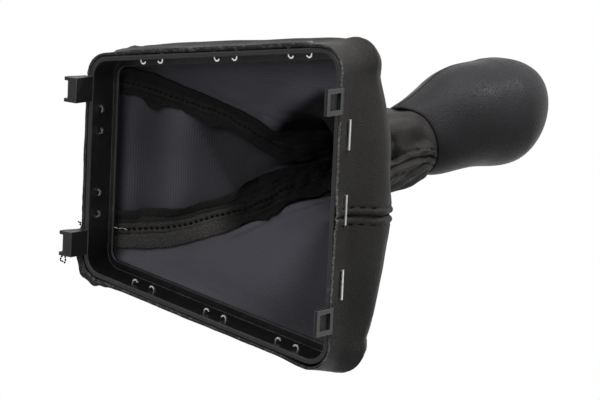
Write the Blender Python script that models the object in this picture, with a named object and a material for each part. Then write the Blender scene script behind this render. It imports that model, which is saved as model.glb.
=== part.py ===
"""Gear knob with a sewn gaiter on a snap-in frame.

The knob points up along +Z, the wide end of the frame faces -Y, and the part stands on the tips of
the frame's four clips. All sizes are in metres.
"""

import math

import bmesh
import bpy
import numpy as np
from mathutils import Matrix, Vector

# Room left between pieces that touch
GAP = 0.0003

# Frame: a trapezoid ring of one moulding, measured over the outside of its wall
FRAME_LENGTH = 0.136
FRAME_WIDE = 0.1364
FRAME_NARROW = 0.0956
FRAME_CORNER = 0.010
FRAME_CORNER_LEAST = 0.0025
WALL = 0.0022
WALL_HEIGHT = 0.0156
LEDGE_THICKNESS = 0.0018
LEDGE_SIDE = 0.0036
LEDGE_END = 0.0025
EDGE_ROUND = 0.0004

# Snap-in clips, moulded with the frame: a plate with a pocket that faces outward
CLIP_DROP = 0.0105
CLIP_WIDTH = 0.011
CLIP_FLANGE = 0.0016
CLIP_TIP_BAR = 0.0026
CLIP_ROOT_BAR = 0.0018
CLIP_BAR_REACH = 0.0030
CLIP_ROOT_REACH = 0.0026
CLIP_TIP_REACH = 0.0050
CLIP_SEAT = 0.0002
CLIP_ROOT_DEPTH = 0.003
CLIP_NARROW_X = 0.034
CLIP_WIDE_X = 0.046

# The two clips at the wide end are shallow trays that hang a little outside the wall
TRAY_BACK = 0.0004
TRAY_FRONT = 0.0023
TRAY_FLOOR = 0.0011
TRAY_TIP_BAR = 0.0014
TRAY_FLANGE = 0.0019

# Gaiter: sewn from three panels of lined artificial leather
LEATHER = 0.0012
SEAM_ALLOWANCE = 0.0085
ALLOWANCE_THICKNESS = 0.0011
ALLOWANCE_STEP = 0.0004
NARROW_PANEL = 0.066
NARROW_PANEL_SHIFT = 0.003
WIDE_SEAM_X = 0.003
HEM_HEIGHTS = (0.0004, 0.0062, 0.0117)
BULGE_WIDE = 0.0100
BULGE_SIDE = 0.0020
BULGE_NARROW = 0.0010
BULGE_CORNER = 0.0042
BULGE_FALL = 0.6
BULGE_AT_LEDGE = 0.7
BULGE_AT_WIDEST = 1.1
BULGE_HEIGHT = 0.022
SHOULDER_HEIGHT = 0.034
SHOULDER_INSET = 0.006
SHOULDER_FALL = 0.25
ROOF_HEIGHT = 0.043
ROOF_SHARE = 0.55
ROOF_SAG = 0.017
NECK_BASE_HEIGHT = 0.053
NECK_BASE_RADIUS = 0.022
NECK_BASE_X = -0.001
NECK_BASE_Y = -0.016
NECK_LOW_DISTANCE = 0.040
NECK_LOW_RADIUS = 0.0190
NECK_HIGH_DISTANCE = 0.018
NECK_HIGH_RADIUS = 0.0182
NECK_TUCK = 0.006
NECK_END = 0.014
NECK_TWIST = math.radians(28)
NARROW_PANEL_SPREAD = 0.6
FOLDS = 5
FOLD_DEPTH = 0.0022
SLIGHT_FOLD = 0.0011
GAITER_ENDS = 14
ROWS_PER_SECTION = 2
ROW_PROBE = 0.05
ALLOWANCE_MOST_SHARE = 0.33
ALLOWANCE_COLUMNS = 4
ALLOWANCE_FIRST = 4
ALLOWANCE_LAST = 9

# Staples that hold the gaiter's hem to the wall
STAPLE_CROWN = 0.0128
STAPLE_WIRE = 0.00065
STAPLE_WIDTH = 0.00095
STAPLE_HEIGHT = 0.0053
STAPLE_CURL = 0.0013
STAPLE_CURL_STEPS = 6
STAPLE_CURL_TURN = math.radians(162)
STAPLE_WIDE_X = (-0.0315, 0.0, 0.0315)
STAPLE_NARROW_X = (-0.020, 0.017)
STAPLE_SIDE_SHARES = (0.19, 0.54, 0.88)

# Knob: its rim's centre over the middle of the frame, its lean, and its pear shape
KNOB_X = -0.0129
KNOB_Y = -0.0292
KNOB_HEIGHT = 0.110
KNOB_AXIS = (-0.217, -0.202, 0.955)
KNOB_LENGTH = 0.0772
KNOB_RADIUS = 0.0248
KNOB_WIDEST = 0.0488
KNOB_FLARE = 0.5
KNOB_CROWN = 1.7
KNOB_BOW = 0.0032
KNOB_LEAN = 0.0040
SKIN = 0.00105
SKIRT_WALL = 0.00145
SKIRT_LIFT = 0.0035
CAP_RADIUS = 0.013
CAP_THICKNESS = 0.0028

# Inside the knob: the sleeve that takes the gear lever, and how the gaiter's neck is held
LEVER_RADIUS = 0.006
SLEEVE_WALL = 0.002
SLEEVE_START = 0.002
SLEEVE_LENGTH = 0.046
COLLAR_WALL = 0.0012
COLLAR_START = 0.005
COLLAR_LENGTH = 0.010
TIE_THICKNESS = 0.001
TIE_WIDTH = 0.0036
TIE_START = 0.0085
CAVITY_TOP = 0.0165

# How finely curved pieces are cut
CORNER_STEPS = 6
STRAIGHT_STEP = 0.013
DENSE_POINTS = 160
PEAR_STEPS = 9
CROWN_STEPS = 6
ROUND_STEPS = 40
SMALL_ROUND_STEPS = 32
SHARP_EDGE = math.radians(30)
SHARP_FOLD = math.radians(50)

# Worked out from the sizes above
HEM_OUT = GAP + LEATHER
SLEEVE_RADIUS = LEVER_RADIUS + SLEEVE_WALL
COLLAR_INNER = SLEEVE_RADIUS + GAP
COLLAR_OUTER = COLLAR_INNER + COLLAR_WALL
NECK_RADIUS = COLLAR_OUTER + GAP + LEATHER
TIE_INNER = NECK_RADIUS + GAP
TIE_OUTER = TIE_INNER + TIE_THICKNESS
SKIRT_INNER = TIE_OUTER + GAP
RIM_RADIUS = SKIRT_INNER + SKIRT_WALL + GAP + SKIN
NECK_AT_RIM = RIM_RADIUS - SKIN - GAP
SLEEVE_END = SLEEVE_START + SLEEVE_LENGTH

PLASTIC = ("moulded_plastic", (0.035, 0.035, 0.038), 0.45, 0.0)
LEATHERETTE = ("artificial_leather", (0.030, 0.029, 0.029), 0.55, 0.0)
SKIN_FINISH = ("knob_leather", (0.040, 0.040, 0.042), 0.42, 0.0)
CORE_PLASTIC = ("core_plastic", (0.10, 0.10, 0.10), 0.5, 0.0)
STEEL = ("bright_wire", (0.75, 0.75, 0.73), 0.25, 1.0)
SLEEVE_STEEL = ("sleeve_steel", (0.45, 0.45, 0.46), 0.35, 1.0)
NYLON = ("black_nylon", (0.02, 0.02, 0.02), 0.5, 0.0)


def clear_scene():
    """Empties the scene."""
    for thing in list(bpy.data.objects):
        bpy.data.objects.remove(thing, do_unlink=True)


def material(finish):
    """The Principled material of one finish, made once."""
    name, colour, roughness, metallic = finish
    found = bpy.data.materials.get(name)
    if found:
        return found
    made = bpy.data.materials.new(name)
    made.use_nodes = True
    shader = made.node_tree.nodes["Principled BSDF"]
    shader.inputs["Base Color"].default_value = (*colour, 1.0)
    shader.inputs["Roughness"].default_value = roughness
    shader.inputs["Metallic"].default_value = metallic
    return made


def add_object(name, bm, finish=None, smooth_angle=None):
    """Turns a bmesh into an object in the scene."""
    mesh = bpy.data.meshes.new(name)
    bm.to_mesh(mesh)
    bm.free()
    if smooth_angle is not None:
        mesh.shade_smooth()
        mesh.set_sharp_from_angle(angle=smooth_angle)
    made = bpy.data.objects.new(name, mesh)
    if finish:
        mesh.materials.append(material(finish))
    bpy.context.scene.collection.objects.link(made)
    return made


def make_cutter(tool):
    """Marks an object as a Boolean's tool, so that it is not a piece of the part."""
    tool.hide_render = True
    tool.display_type = "WIRE"
    return tool


def cut_or_join(target, tool, operation):
    """Adds an exact Boolean of this tool to the target."""
    boolean = target.modifiers.new(tool.name, "BOOLEAN")
    boolean.operation = operation
    boolean.object = tool
    boolean.solver = "EXACT"


class Outline:
    """A trapezoid with round corners, run through from the middle of the wide end towards +X."""

    def __init__(self, length, wide, narrow, radius):
        ends = (-length / 2, length / 2)
        corners = [
            Vector((wide / 2, ends[0])),
            Vector((narrow / 2, ends[1])),
            Vector((-narrow / 2, ends[1])),
            Vector((-wide / 2, ends[0])),
        ]
        self.pieces = []
        here = Vector((0.0, ends[0]))
        for index, corner in enumerate(corners):
            before = corners[index - 1]
            after = corners[(index + 1) % 4]
            way_in = (corner - before).normalized()
            way_out = (after - corner).normalized()
            turn = way_in.angle(way_out)
            reach = radius * math.tan(turn / 2)
            start = corner - way_in * reach
            self.pieces.append(("line", here, way_in, (start - here).length))
            centre = start + Vector((-way_in.y, way_in.x)) * radius
            self.pieces.append(("arc", centre, way_in, radius * turn))
            here = corner + way_out * reach
        self.pieces.append(("line", here, way_out, abs(here.x)))
        self.radius = radius
        self.breaks = np.cumsum([0.0] + [piece[3] for piece in self.pieces])
        self.total = float(self.breaks[-1])

    def at(self, distance):
        """The point and the outward direction at this distance along the outline."""
        distance = min(max(distance, 0.0), self.total)
        index = min(int(np.searchsorted(self.breaks, distance, "right")) - 1, len(self.pieces) - 1)
        kind, place, way, _ = self.pieces[index]
        along = distance - self.breaks[index]
        outward = Vector((way.y, -way.x))
        if kind == "line":
            return place + way * along, outward
        outward.rotate(Matrix.Rotation(along / self.radius, 2))
        return place + outward * self.radius, outward


WALL_OUTLINE = Outline(FRAME_LENGTH, FRAME_WIDE, FRAME_NARROW, FRAME_CORNER)


def add_ring(bm, outline, shares, height):
    """A loop of vertices round an outline at one height, at these shares of its length."""
    points = [outline.at(share * outline.total)[0] for share in shares]
    return [bm.verts.new((point.x, point.y, height)) for point in points]


def join_rings(bm, first, second):
    """A band of faces between two loops with as many vertices each."""
    for index in range(len(first)):
        bm.faces.new((first[index - 1], first[index], second[index], second[index - 1]))


def inset_outline(side, end):
    """The wall's outline moved inward, by one distance at the sides and another at the ends."""
    slope = (FRAME_WIDE - FRAME_NARROW) / 2 / FRAME_LENGTH
    across = side * math.sqrt(1 + slope * slope)
    wide = FRAME_WIDE - 2 * (across + slope * end)
    narrow = FRAME_NARROW - 2 * (across - slope * end)
    radius = max(FRAME_CORNER - max(side, end), FRAME_CORNER_LEAST)
    return Outline(FRAME_LENGTH - 2 * end, wide, narrow, radius)


def corner_shares(outline, straight_steps):
    """Shares of each outline that land on the same corners whatever its size."""
    shares = []
    for index, piece in enumerate(outline.pieces):
        steps = CORNER_STEPS if piece[0] == "arc" else straight_steps
        places = np.linspace(outline.breaks[index], outline.breaks[index + 1], steps, endpoint=False)
        shares += list(places / outline.total)
    return shares


def build_frame():
    """The wall with its inward ledge: one profile, carried round the outline, its edges broken."""
    edge = EDGE_ROUND
    under = WALL_HEIGHT - LEDGE_THICKNESS
    side = WALL + LEDGE_SIDE
    end = WALL + LEDGE_END
    profile = [
        (edge, edge, 0.0),
        (0.0, 0.0, edge),
        (0.0, 0.0, WALL_HEIGHT - edge),
        (edge, edge, WALL_HEIGHT),
        (side - edge, end - edge, WALL_HEIGHT),
        (side, end, WALL_HEIGHT - edge),
        (side, end, under + edge),
        (side - edge, end - edge, under),
        (WALL, WALL, under),
        (WALL, WALL, edge),
        (WALL - edge, WALL - edge, 0.0),
    ]
    bm = bmesh.new()
    rings = []
    for side_inset, end_inset, height in profile:
        line = inset_outline(side_inset, end_inset)
        rings.append(add_ring(bm, line, corner_shares(line, 2), height))
    for index, ring in enumerate(rings):
        join_rings(bm, rings[index - 1], ring)
    bmesh.ops.recalc_face_normals(bm, faces=bm.faces)
    return add_object("snap_in_frame", bm, PLASTIC, SHARP_EDGE)


def add_box(bm, low, high):
    """A closed box between two corners."""
    size = Vector(high) - Vector(low)
    middle = (Vector(high) + Vector(low)) / 2
    place = Matrix.Translation(middle) @ Matrix.Diagonal((*size, 1.0))
    return bmesh.ops.create_cube(bm, size=1.0, matrix=place)["verts"]


def add_prism(bm, profile, half_width):
    """A closed block: an outline of (y, z) points carried across X, evenly to both sides."""
    corners = [bm.verts.new((-half_width, y, z)) for y, z in profile]
    face = bm.faces.new(corners)
    carried = bmesh.ops.extrude_face_region(bm, geom=[face])["geom"]
    verts = [part for part in carried if isinstance(part, bmesh.types.BMVert)]
    bmesh.ops.translate(bm, verts=verts, vec=(2 * half_width, 0.0, 0.0))
    bmesh.ops.recalc_face_normals(bm, faces=bm.faces)


def hooked_clip():
    """Profiles of a narrow-end clip as (outward, up): a block that narrows to its root, its pocket."""
    back = -WALL + CLIP_SEAT
    front = -CLIP_SEAT
    block = [
        (back, -CLIP_DROP),
        (CLIP_TIP_REACH, -CLIP_DROP),
        (CLIP_TIP_REACH, -CLIP_DROP + CLIP_TIP_BAR),
        (CLIP_ROOT_REACH, -CLIP_ROOT_BAR),
        (CLIP_ROOT_REACH, 0.0),
        (front, 0.0),
        (front, CLIP_ROOT_DEPTH),
        (back, CLIP_ROOT_DEPTH),
    ]
    far = 2 * CLIP_TIP_REACH
    hollow = [
        (CLIP_BAR_REACH, -2 * CLIP_DROP),
        (far, -2 * CLIP_DROP),
        (far, -CLIP_ROOT_BAR),
        (0.0, -CLIP_ROOT_BAR),
        (0.0, -CLIP_DROP + CLIP_TIP_BAR),
        (CLIP_BAR_REACH, -CLIP_DROP + CLIP_TIP_BAR),
    ]
    return block, hollow, CLIP_FLANGE


def tray_clip():
    """Profiles of a wide-end clip as (outward, up): a thin plate on a root bar, and its pocket."""
    back = -WALL + CLIP_SEAT
    front = -CLIP_SEAT
    block = [
        (back, -CLIP_ROOT_BAR),
        (TRAY_BACK, -CLIP_ROOT_BAR),
        (TRAY_BACK, -CLIP_DROP),
        (TRAY_FRONT, -CLIP_DROP),
        (TRAY_FRONT, 0.0),
        (front, 0.0),
        (front, CLIP_ROOT_DEPTH),
        (back, CLIP_ROOT_DEPTH),
    ]
    far = 2 * TRAY_FRONT
    hollow = [
        (TRAY_FLOOR, -CLIP_DROP + TRAY_TIP_BAR),
        (far, -CLIP_DROP + TRAY_TIP_BAR),
        (far, -CLIP_ROOT_BAR),
        (TRAY_FLOOR, -CLIP_ROOT_BAR),
    ]
    return block, hollow, TRAY_FLANGE


def build_clip(name, x, y, facing, profiles):
    """One clip as a joining tool: a block less the pocket in its outward face."""
    block, hollow, flange = profiles
    pieces = []
    for part, profile, half in (
        ("", block, CLIP_WIDTH / 2),
        ("_pocket", hollow, CLIP_WIDTH / 2 - flange),
    ):
        bm = bmesh.new()
        add_prism(bm, profile, half)
        piece = make_cutter(add_object(name + part, bm))
        piece.location = (x, y, 0.0)
        piece.rotation_euler = (0.0, 0.0, facing)
        pieces.append(piece)
    cut_or_join(pieces[0], pieces[1], "DIFFERENCE")
    return pieces[0]


def clip_places():
    """Each clip's name, x, y of the wall's outer face, turn about the vertical, and profiles."""
    narrow = FRAME_LENGTH / 2
    wide = -FRAME_LENGTH / 2
    return (
        ("clip_narrow_left", -CLIP_NARROW_X, narrow, 0.0, hooked_clip()),
        ("clip_narrow_right", CLIP_NARROW_X, narrow, 0.0, hooked_clip()),
        ("clip_wide_left", -CLIP_WIDE_X, wide, math.pi, tray_clip()),
        ("clip_wide_right", CLIP_WIDE_X, wide, math.pi, tray_clip()),
    )


def staple_places():
    """Distances along the wall's outline at which the staples' middles lie, with their names."""
    breaks = WALL_OUTLINE.breaks
    places = [x if x >= 0 else WALL_OUTLINE.total + x for x in STAPLE_WIDE_X]
    narrow_middle = (breaks[4] + breaks[5]) / 2
    places += [narrow_middle - x for x in STAPLE_NARROW_X]
    for share in STAPLE_SIDE_SHARES:
        places.append(breaks[3] - share * (breaks[3] - breaks[2]))
        places.append(breaks[6] + share * (breaks[7] - breaks[6]))
    return places


def staple_path():
    """Half of a staple seen from above: crown, leg and curled tip, as (along the wall, outward)."""
    leg = STAPLE_CROWN / 2 - STAPLE_WIRE / 2
    outside = HEM_OUT + GAP + STAPLE_WIRE / 2
    turn = -WALL - GAP - STAPLE_WIRE / 2
    path = [(0.0, outside), (leg, outside), (leg, turn)]
    centre = Vector((leg - STAPLE_CURL, turn))
    for step in range(1, STAPLE_CURL_STEPS + 1):
        angle = -STAPLE_CURL_TURN * step / STAPLE_CURL_STEPS
        around = Vector((math.cos(angle), math.sin(angle)))
        path.append(tuple(centre + around * STAPLE_CURL))
    return path


def build_staple(name, distance):
    """A flat wire bent to the staple's shape: its outline in plan, raised by the wire's width."""
    half = staple_path()
    path = [Vector((-x, y)) for x, y in reversed(half[1:])] + [Vector(point) for point in half]
    left = []
    right = []
    for index, point in enumerate(path):
        before = (point - path[index - 1]).normalized() if index else None
        after = (path[index + 1] - point).normalized() if index < len(path) - 1 else None
        before = before or after
        after = after or before
        side = Vector((-(before.y + after.y), before.x + after.x)).normalized()
        reach = STAPLE_WIRE / 2 / max(0.5, side.dot(Vector((-before.y, before.x))))
        left.append(point + side * reach)
        right.append(point - side * reach)
    bm = bmesh.new()
    bottom = STAPLE_HEIGHT - STAPLE_WIDTH / 2
    rails = [[bm.verts.new((p.x, p.y, bottom)) for p in rail] for rail in (left, right)]
    for i in range(len(path) - 1):
        bm.faces.new((rails[0][i], rails[0][i + 1], rails[1][i + 1], rails[1][i]))
    raised = bmesh.ops.extrude_face_region(bm, geom=bm.faces[:])["geom"]
    verts = [part for part in raised if isinstance(part, bmesh.types.BMVert)]
    bmesh.ops.translate(bm, verts=verts, vec=(0.0, 0.0, STAPLE_WIDTH))
    bmesh.ops.recalc_face_normals(bm, faces=bm.faces)
    staple = add_object(name, bm, STEEL)
    return put_on_wall(staple, distance)


def put_on_wall(thing, distance):
    """Places a thing modelled at the wall's outer face, its +Y pointing outward."""
    point, outward = WALL_OUTLINE.at(distance)
    thing.location = (point.x, point.y, 0.0)
    thing.rotation_euler = (0.0, 0.0, math.atan2(outward.y, outward.x) - math.pi / 2)
    return thing


def build_staple_slots():
    """One tool with a slot for each staple leg, through the hem and the wall."""
    leg = STAPLE_CROWN / 2 - STAPLE_WIRE / 2
    along = STAPLE_WIRE / 2 + GAP
    up = STAPLE_WIDTH / 2 + GAP
    bm = bmesh.new()
    for distance in staple_places():
        point, outward = WALL_OUTLINE.at(distance)
        turn = math.atan2(outward.y, outward.x) - math.pi / 2
        place = Matrix.Translation((point.x, point.y, 0.0)) @ Matrix.Rotation(turn, 4, "Z")
        for side in (-leg, leg):
            low = (side - along, -2 * WALL, STAPLE_HEIGHT - up)
            high = (side + along, 2 * HEM_OUT, STAPLE_HEIGHT + up)
            bmesh.ops.transform(bm, matrix=place, verts=add_box(bm, low, high))
    return make_cutter(add_object("staple_slots", bm))


def knob_matrix():
    """Places knob pieces: their own origin is the rim's centre, and their +Z is the knob's axis."""
    axis = Vector(KNOB_AXIS).normalized()
    side = (Vector((1.0, 0.0, 0.0)) - axis * axis.x).normalized()
    front = axis.cross(side)
    turn = Matrix((side, front, axis)).transposed().to_4x4()
    return Matrix.Translation((KNOB_X, KNOB_Y, KNOB_HEIGHT)) @ turn


KNOB_PLACE = knob_matrix()


def neck_centre(distance):
    """A point of the neck's middle line, this far below the rim, and the direction of the line."""
    axis = Vector(KNOB_AXIS).normalized()
    rim = KNOB_PLACE.translation
    base = Vector((NECK_BASE_X, NECK_BASE_Y, NECK_BASE_HEIGHT))
    drop = (rim - base).length
    share = min(max(distance / drop, 0.0), 1.0)
    straight = rim - axis * distance
    if distance <= 0:
        return straight, axis
    bent = rim.lerp(base, share)
    direction = axis.lerp(Vector((0.0, 0.0, 1.0)), share).normalized()
    return straight.lerp(bent, share), direction


def neck_section(share, distance, radius, fold):
    """A point of the neck's round section. Share runs round the gaiter from its wide-end seam."""
    centre, direction = neck_centre(distance)
    side = (Vector((1.0, 0.0, 0.0)) - direction * direction.x).normalized()
    front = direction.cross(side)
    turn = 2 * math.pi * share
    angle = turn - NARROW_PANEL_SPREAD * math.sin(turn) - math.pi / 2 + NECK_TWIST
    reach = radius + fold * math.cos(FOLDS * angle)
    return centre + side * (reach * math.cos(angle)) + front * (reach * math.sin(angle))


def corner_fall(share):
    """0 at the middle of the wide end, growing to 1 at its corners, and 1 from there round."""
    away = min(share, 1.0 - share) * WALL_OUTLINE.total / (FRAME_WIDE / 2)
    return min(1.0, away * away)


def wall_section(share, height, out, bulge):
    """A point beside the wall: out is the distance from it, and bulge scales the swelling there."""
    point, outward = WALL_OUTLINE.at(share * WALL_OUTLINE.total)
    at_wide_end = BULGE_WIDE * (1.0 - BULGE_FALL * corner_fall(share))
    swelling = at_wide_end * max(0.0, -outward.y) ** 2 + BULGE_SIDE * outward.x**2
    swelling += BULGE_NARROW * max(0.0, outward.y) ** 2
    swelling += BULGE_CORNER * 2 * max(0.0, -outward.y) * abs(outward.x)
    flat = point + outward * (out + bulge * swelling)
    return Vector((flat.x, flat.y, height))


def gaiter_sections(share):
    """The control points of the gaiter's outer face at one share of its way round, hem first."""
    neck_base = Vector((NECK_BASE_X, NECK_BASE_Y, NECK_BASE_HEIGHT))
    base_distance = (KNOB_PLACE.translation - neck_base).length
    lower = 1.0 - SHOULDER_FALL * corner_fall(share)
    shoulder = wall_section(share, SHOULDER_HEIGHT * lower, HEM_OUT - SHOULDER_INSET, 1.0)
    base = neck_section(share, base_distance, NECK_BASE_RADIUS, SLIGHT_FOLD)
    roof = shoulder.lerp(base, ROOF_SHARE)
    roof.z = ROOF_HEIGHT
    roof.x += ROOF_SAG * (0.5 + shoulder.x / FRAME_WIDE)
    sections = [wall_section(share, height, HEM_OUT, 0.0) for height in HEM_HEIGHTS]
    return sections + [
        wall_section(share, WALL_HEIGHT, HEM_OUT, BULGE_AT_LEDGE),
        wall_section(share, BULGE_HEIGHT * lower, HEM_OUT, BULGE_AT_WIDEST),
        shoulder,
        roof,
        base,
        neck_section(share, NECK_LOW_DISTANCE, NECK_LOW_RADIUS, FOLD_DEPTH),
        neck_section(share, NECK_HIGH_DISTANCE, NECK_HIGH_RADIUS, SLIGHT_FOLD),
        neck_section(share, SKIRT_LIFT, NECK_AT_RIM, 0.0),
        neck_section(share, 0.0, NECK_AT_RIM, 0.0),
        neck_section(share, -SKIRT_LIFT, NECK_RADIUS, 0.0),
        neck_section(share, -NECK_TUCK, NECK_RADIUS, 0.0),
        neck_section(share, -NECK_END, NECK_RADIUS, 0.0),
    ]


def loft_rows():
    """The heights, counted in sections, at which the gaiter's surface gets a row of points."""
    steps = GAITER_ENDS * ROWS_PER_SECTION
    return [step / ROWS_PER_SECTION for step in range(steps + 1)]


def on_spline(controls, place):
    """A uniform cubic B-spline through stacks of control points, at this place along it."""
    last = controls.shape[1] - 1
    low = min(int(place), last - 1)
    t = place - low
    weights = (
        (1 - t) ** 3 / 6,
        (3 * t**3 - 6 * t**2 + 4) / 6,
        (-3 * t**3 + 3 * t**2 + 3 * t + 1) / 6,
        t**3 / 6,
    )
    before = 2 * controls[:, 0] - controls[:, 1] if low == 0 else controls[:, low - 1]
    after = 2 * controls[:, last] - controls[:, last - 1] if low == last - 1 else controls[:, low + 2]
    near = (before, controls[:, low], controls[:, low + 1], after)
    return sum(weight * points for weight, points in zip(weights, near))


def seam_distances():
    """Distances along the wall of the seams: wide end, right, left, and wide end again."""
    breaks = WALL_OUTLINE.breaks
    middle = (breaks[4] + breaks[5]) / 2 + NARROW_PANEL_SHIFT
    wide = WIDE_SEAM_X
    return wide, middle - NARROW_PANEL / 2, middle + NARROW_PANEL / 2, WALL_OUTLINE.total + wide


def panel_columns(start, end):
    """Distances from a panel's first seam, at its hem, of the points between its two allowances."""
    edge = SEAM_ALLOWANCE + ALLOWANCE_STEP
    found = []
    for index, piece in enumerate(WALL_OUTLINE.pieces):
        steps = CORNER_STEPS if piece[0] == "arc" else max(1, round(piece[3] / STRAIGHT_STEP))
        low, high = WALL_OUTLINE.breaks[index : index + 2]
        for place in np.linspace(low, high, steps, endpoint=False):
            if start + edge + ALLOWANCE_STEP < place < end - edge - ALLOWANCE_STEP:
                found.append(place - start)
    return np.array([edge] + found + [end - start - edge])


def panel_points(start, end):
    """Grids of points on a panel's outer and inner faces, as rows from its hem to its neck."""
    pad = SEAM_ALLOWANCE
    shares = np.linspace(start - pad, end + pad, DENSE_POINTS) / WALL_OUTLINE.total
    stacks = [gaiter_sections(share % 1.0) for share in shares]
    controls = np.array([[tuple(point) for point in stack] for stack in stacks])
    middle = panel_columns(start, end)
    spread = (middle - middle[0]) / (middle[-1] - middle[0])
    outer = []
    inner = []
    for place in loft_rows():
        line = on_spline(controls, place)
        above = on_spline(controls, min(place + ROW_PROBE, GAITER_ENDS))
        below = on_spline(controls, max(place - ROW_PROBE, 0.0))
        lengths = np.concatenate([[0.0], np.cumsum(np.linalg.norm(np.diff(line, axis=0), axis=1))])
        seams = np.interp([start / WALL_OUTLINE.total, end / WALL_OUTLINE.total], shares, lengths)
        width = seams[1] - seams[0]
        fold = min(SEAM_ALLOWANCE, ALLOWANCE_MOST_SHARE * width)
        strip = np.linspace(GAP / 2, fold, ALLOWANCE_COLUMNS)
        middle_start = fold + ALLOWANCE_STEP
        flat = middle_start + spread * (width - 2 * middle_start)
        places = np.concatenate([strip, flat, width - strip[::-1]])
        found = np.interp(seams[0] + places, lengths, shares)
        step = shares[1] - shares[0]
        along = row_at(found + step, shares, line) - row_at(found - step, shares, line)
        up = row_at(found, shares, above) - row_at(found, shares, below)
        normal = np.cross(along, up)
        normal /= np.linalg.norm(normal, axis=1)[:, None]
        in_strip = (places <= fold) | (places >= width - fold)
        folded = in_strip & (ALLOWANCE_FIRST <= place <= ALLOWANCE_LAST)
        thickness = LEATHER + ALLOWANCE_THICKNESS * folded
        points = row_at(found, shares, line)
        outer.append(points)
        inner.append(points - normal * thickness[:, None])
    return np.array(outer), np.array(inner)


def row_at(places, shares, line):
    """Points of a row at these shares of the way round."""
    return np.stack([np.interp(places, shares, line[:, axis]) for axis in range(3)], axis=1)


def build_panel(name, start, end):
    """One leather panel between two seams: a grid on its outer face, carried in to its inner face."""
    outer, inner = panel_points(start, end)
    rows, columns = outer.shape[:2]
    bm = bmesh.new()
    bmesh.ops.create_grid(bm, x_segments=columns - 1, y_segments=rows - 1, size=1.0)
    place = bm.verts.layers.int.new("place")
    for vert in bm.verts:
        column = round((vert.co.x + 1) / 2 * (columns - 1))
        row = round((vert.co.y + 1) / 2 * (rows - 1))
        vert[place] = row * columns + column
        vert.co = outer[row, column]
    carried = bmesh.ops.extrude_face_region(bm, geom=bm.faces[:], use_keep_orig=True)["geom"]
    for part in carried:
        if isinstance(part, bmesh.types.BMVert):
            part.co = inner[part[place] // columns, part[place] % columns]
    bmesh.ops.recalc_face_normals(bm, faces=bm.faces)
    return add_object(name, bm, LEATHERETTE, SHARP_FOLD)


def bulge_reach():
    """How far the gaiter swells past the wall's outer face at the middle of the wide end."""
    controls = np.array([[tuple(point) for point in gaiter_sections(0.0)]])
    deepest = min(float(on_spline(controls, place)[0, 1]) for place in loft_rows())
    return -deepest - FRAME_LENGTH / 2


def pear_radius(height, inset):
    """The knob's radius at this height over its rim, taken inward by the inset."""
    if height <= KNOB_WIDEST:
        share = (max(height, 0.0) / KNOB_WIDEST) ** KNOB_FLARE
        return RIM_RADIUS + (KNOB_RADIUS - RIM_RADIUS) * share * share * (3 - 2 * share) - inset
    crown = KNOB_LENGTH - KNOB_WIDEST - inset
    share = min(1.0, (height - KNOB_WIDEST) / crown)
    return (KNOB_RADIUS - inset) * (1 - share**KNOB_CROWN) ** (1 / KNOB_CROWN)


def crown_height(radius, inset):
    """The height at which the knob's rounded top has narrowed to this radius."""
    crown = KNOB_LENGTH - KNOB_WIDEST - inset
    share = radius / (KNOB_RADIUS - inset)
    return KNOB_WIDEST + crown * (1 - share**KNOB_CROWN) ** (1 / KNOB_CROWN)


def pear_profile(start, opening, inset):
    """Points (radius, height) up the pear's side, from its rim to an opening in its top."""
    body = [start + (KNOB_WIDEST - start) * step / PEAR_STEPS for step in range(PEAR_STEPS + 1)]
    points = [(pear_radius(height, inset), height) for height in body]
    last = math.asin((opening / (KNOB_RADIUS - inset)) ** (KNOB_CROWN / 2))
    for step in range(1, CROWN_STEPS + 1):
        angle = math.pi / 2 + (last - math.pi / 2) * step / CROWN_STEPS
        radius = (KNOB_RADIUS - inset) * math.sin(angle) ** (2 / KNOB_CROWN)
        points.append((radius, crown_height(radius, inset)))
    return points


def bow(bm):
    """Leans the pear's middle and its crown a little to -X, leaving its rim and bores straight."""
    for vert in bm.verts:
        height = vert.co.z
        if height > KNOB_WIDEST:
            vert.co.x -= KNOB_LEAN * ((height - KNOB_WIDEST) / (KNOB_LENGTH - KNOB_WIDEST)) ** 2
        elif math.hypot(vert.co.x, vert.co.y) > SKIRT_INNER + GAP and height > 0:
            vert.co.x -= KNOB_BOW * math.sin(math.pi * height / KNOB_WIDEST) ** 2


def turned(name, profile, finish, steps, ring=True, shape=None):
    """A turned piece on the knob's axis, from a profile of (radius, height) points."""
    bm = bmesh.new()
    verts = [bm.verts.new((radius, 0.0, height)) for radius, height in profile]
    for first, second in zip(verts, verts[1:]):
        bm.edges.new((first, second))
    if ring:
        bm.edges.new((verts[-1], verts[0]))
    bmesh.ops.spin(
        bm,
        geom=bm.verts[:] + bm.edges[:],
        cent=(0.0, 0.0, 0.0),
        axis=(0.0, 0.0, 1.0),
        angle=2 * math.pi,
        steps=steps,
        use_merge=True,
    )
    bmesh.ops.remove_doubles(bm, verts=bm.verts, dist=1e-6)
    bmesh.ops.recalc_face_normals(bm, faces=bm.faces)
    if shape:
        shape(bm)
    made = add_object(name, bm, finish, SHARP_EDGE)
    made.matrix_world = KNOB_PLACE
    return made


def tube(name, inner, outer, start, length, finish):
    """A straight tube on the knob's axis."""
    profile = [(inner, start), (outer, start), (outer, start + length), (inner, start + length)]
    return turned(name, profile, finish, SMALL_ROUND_STEPS)


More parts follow.
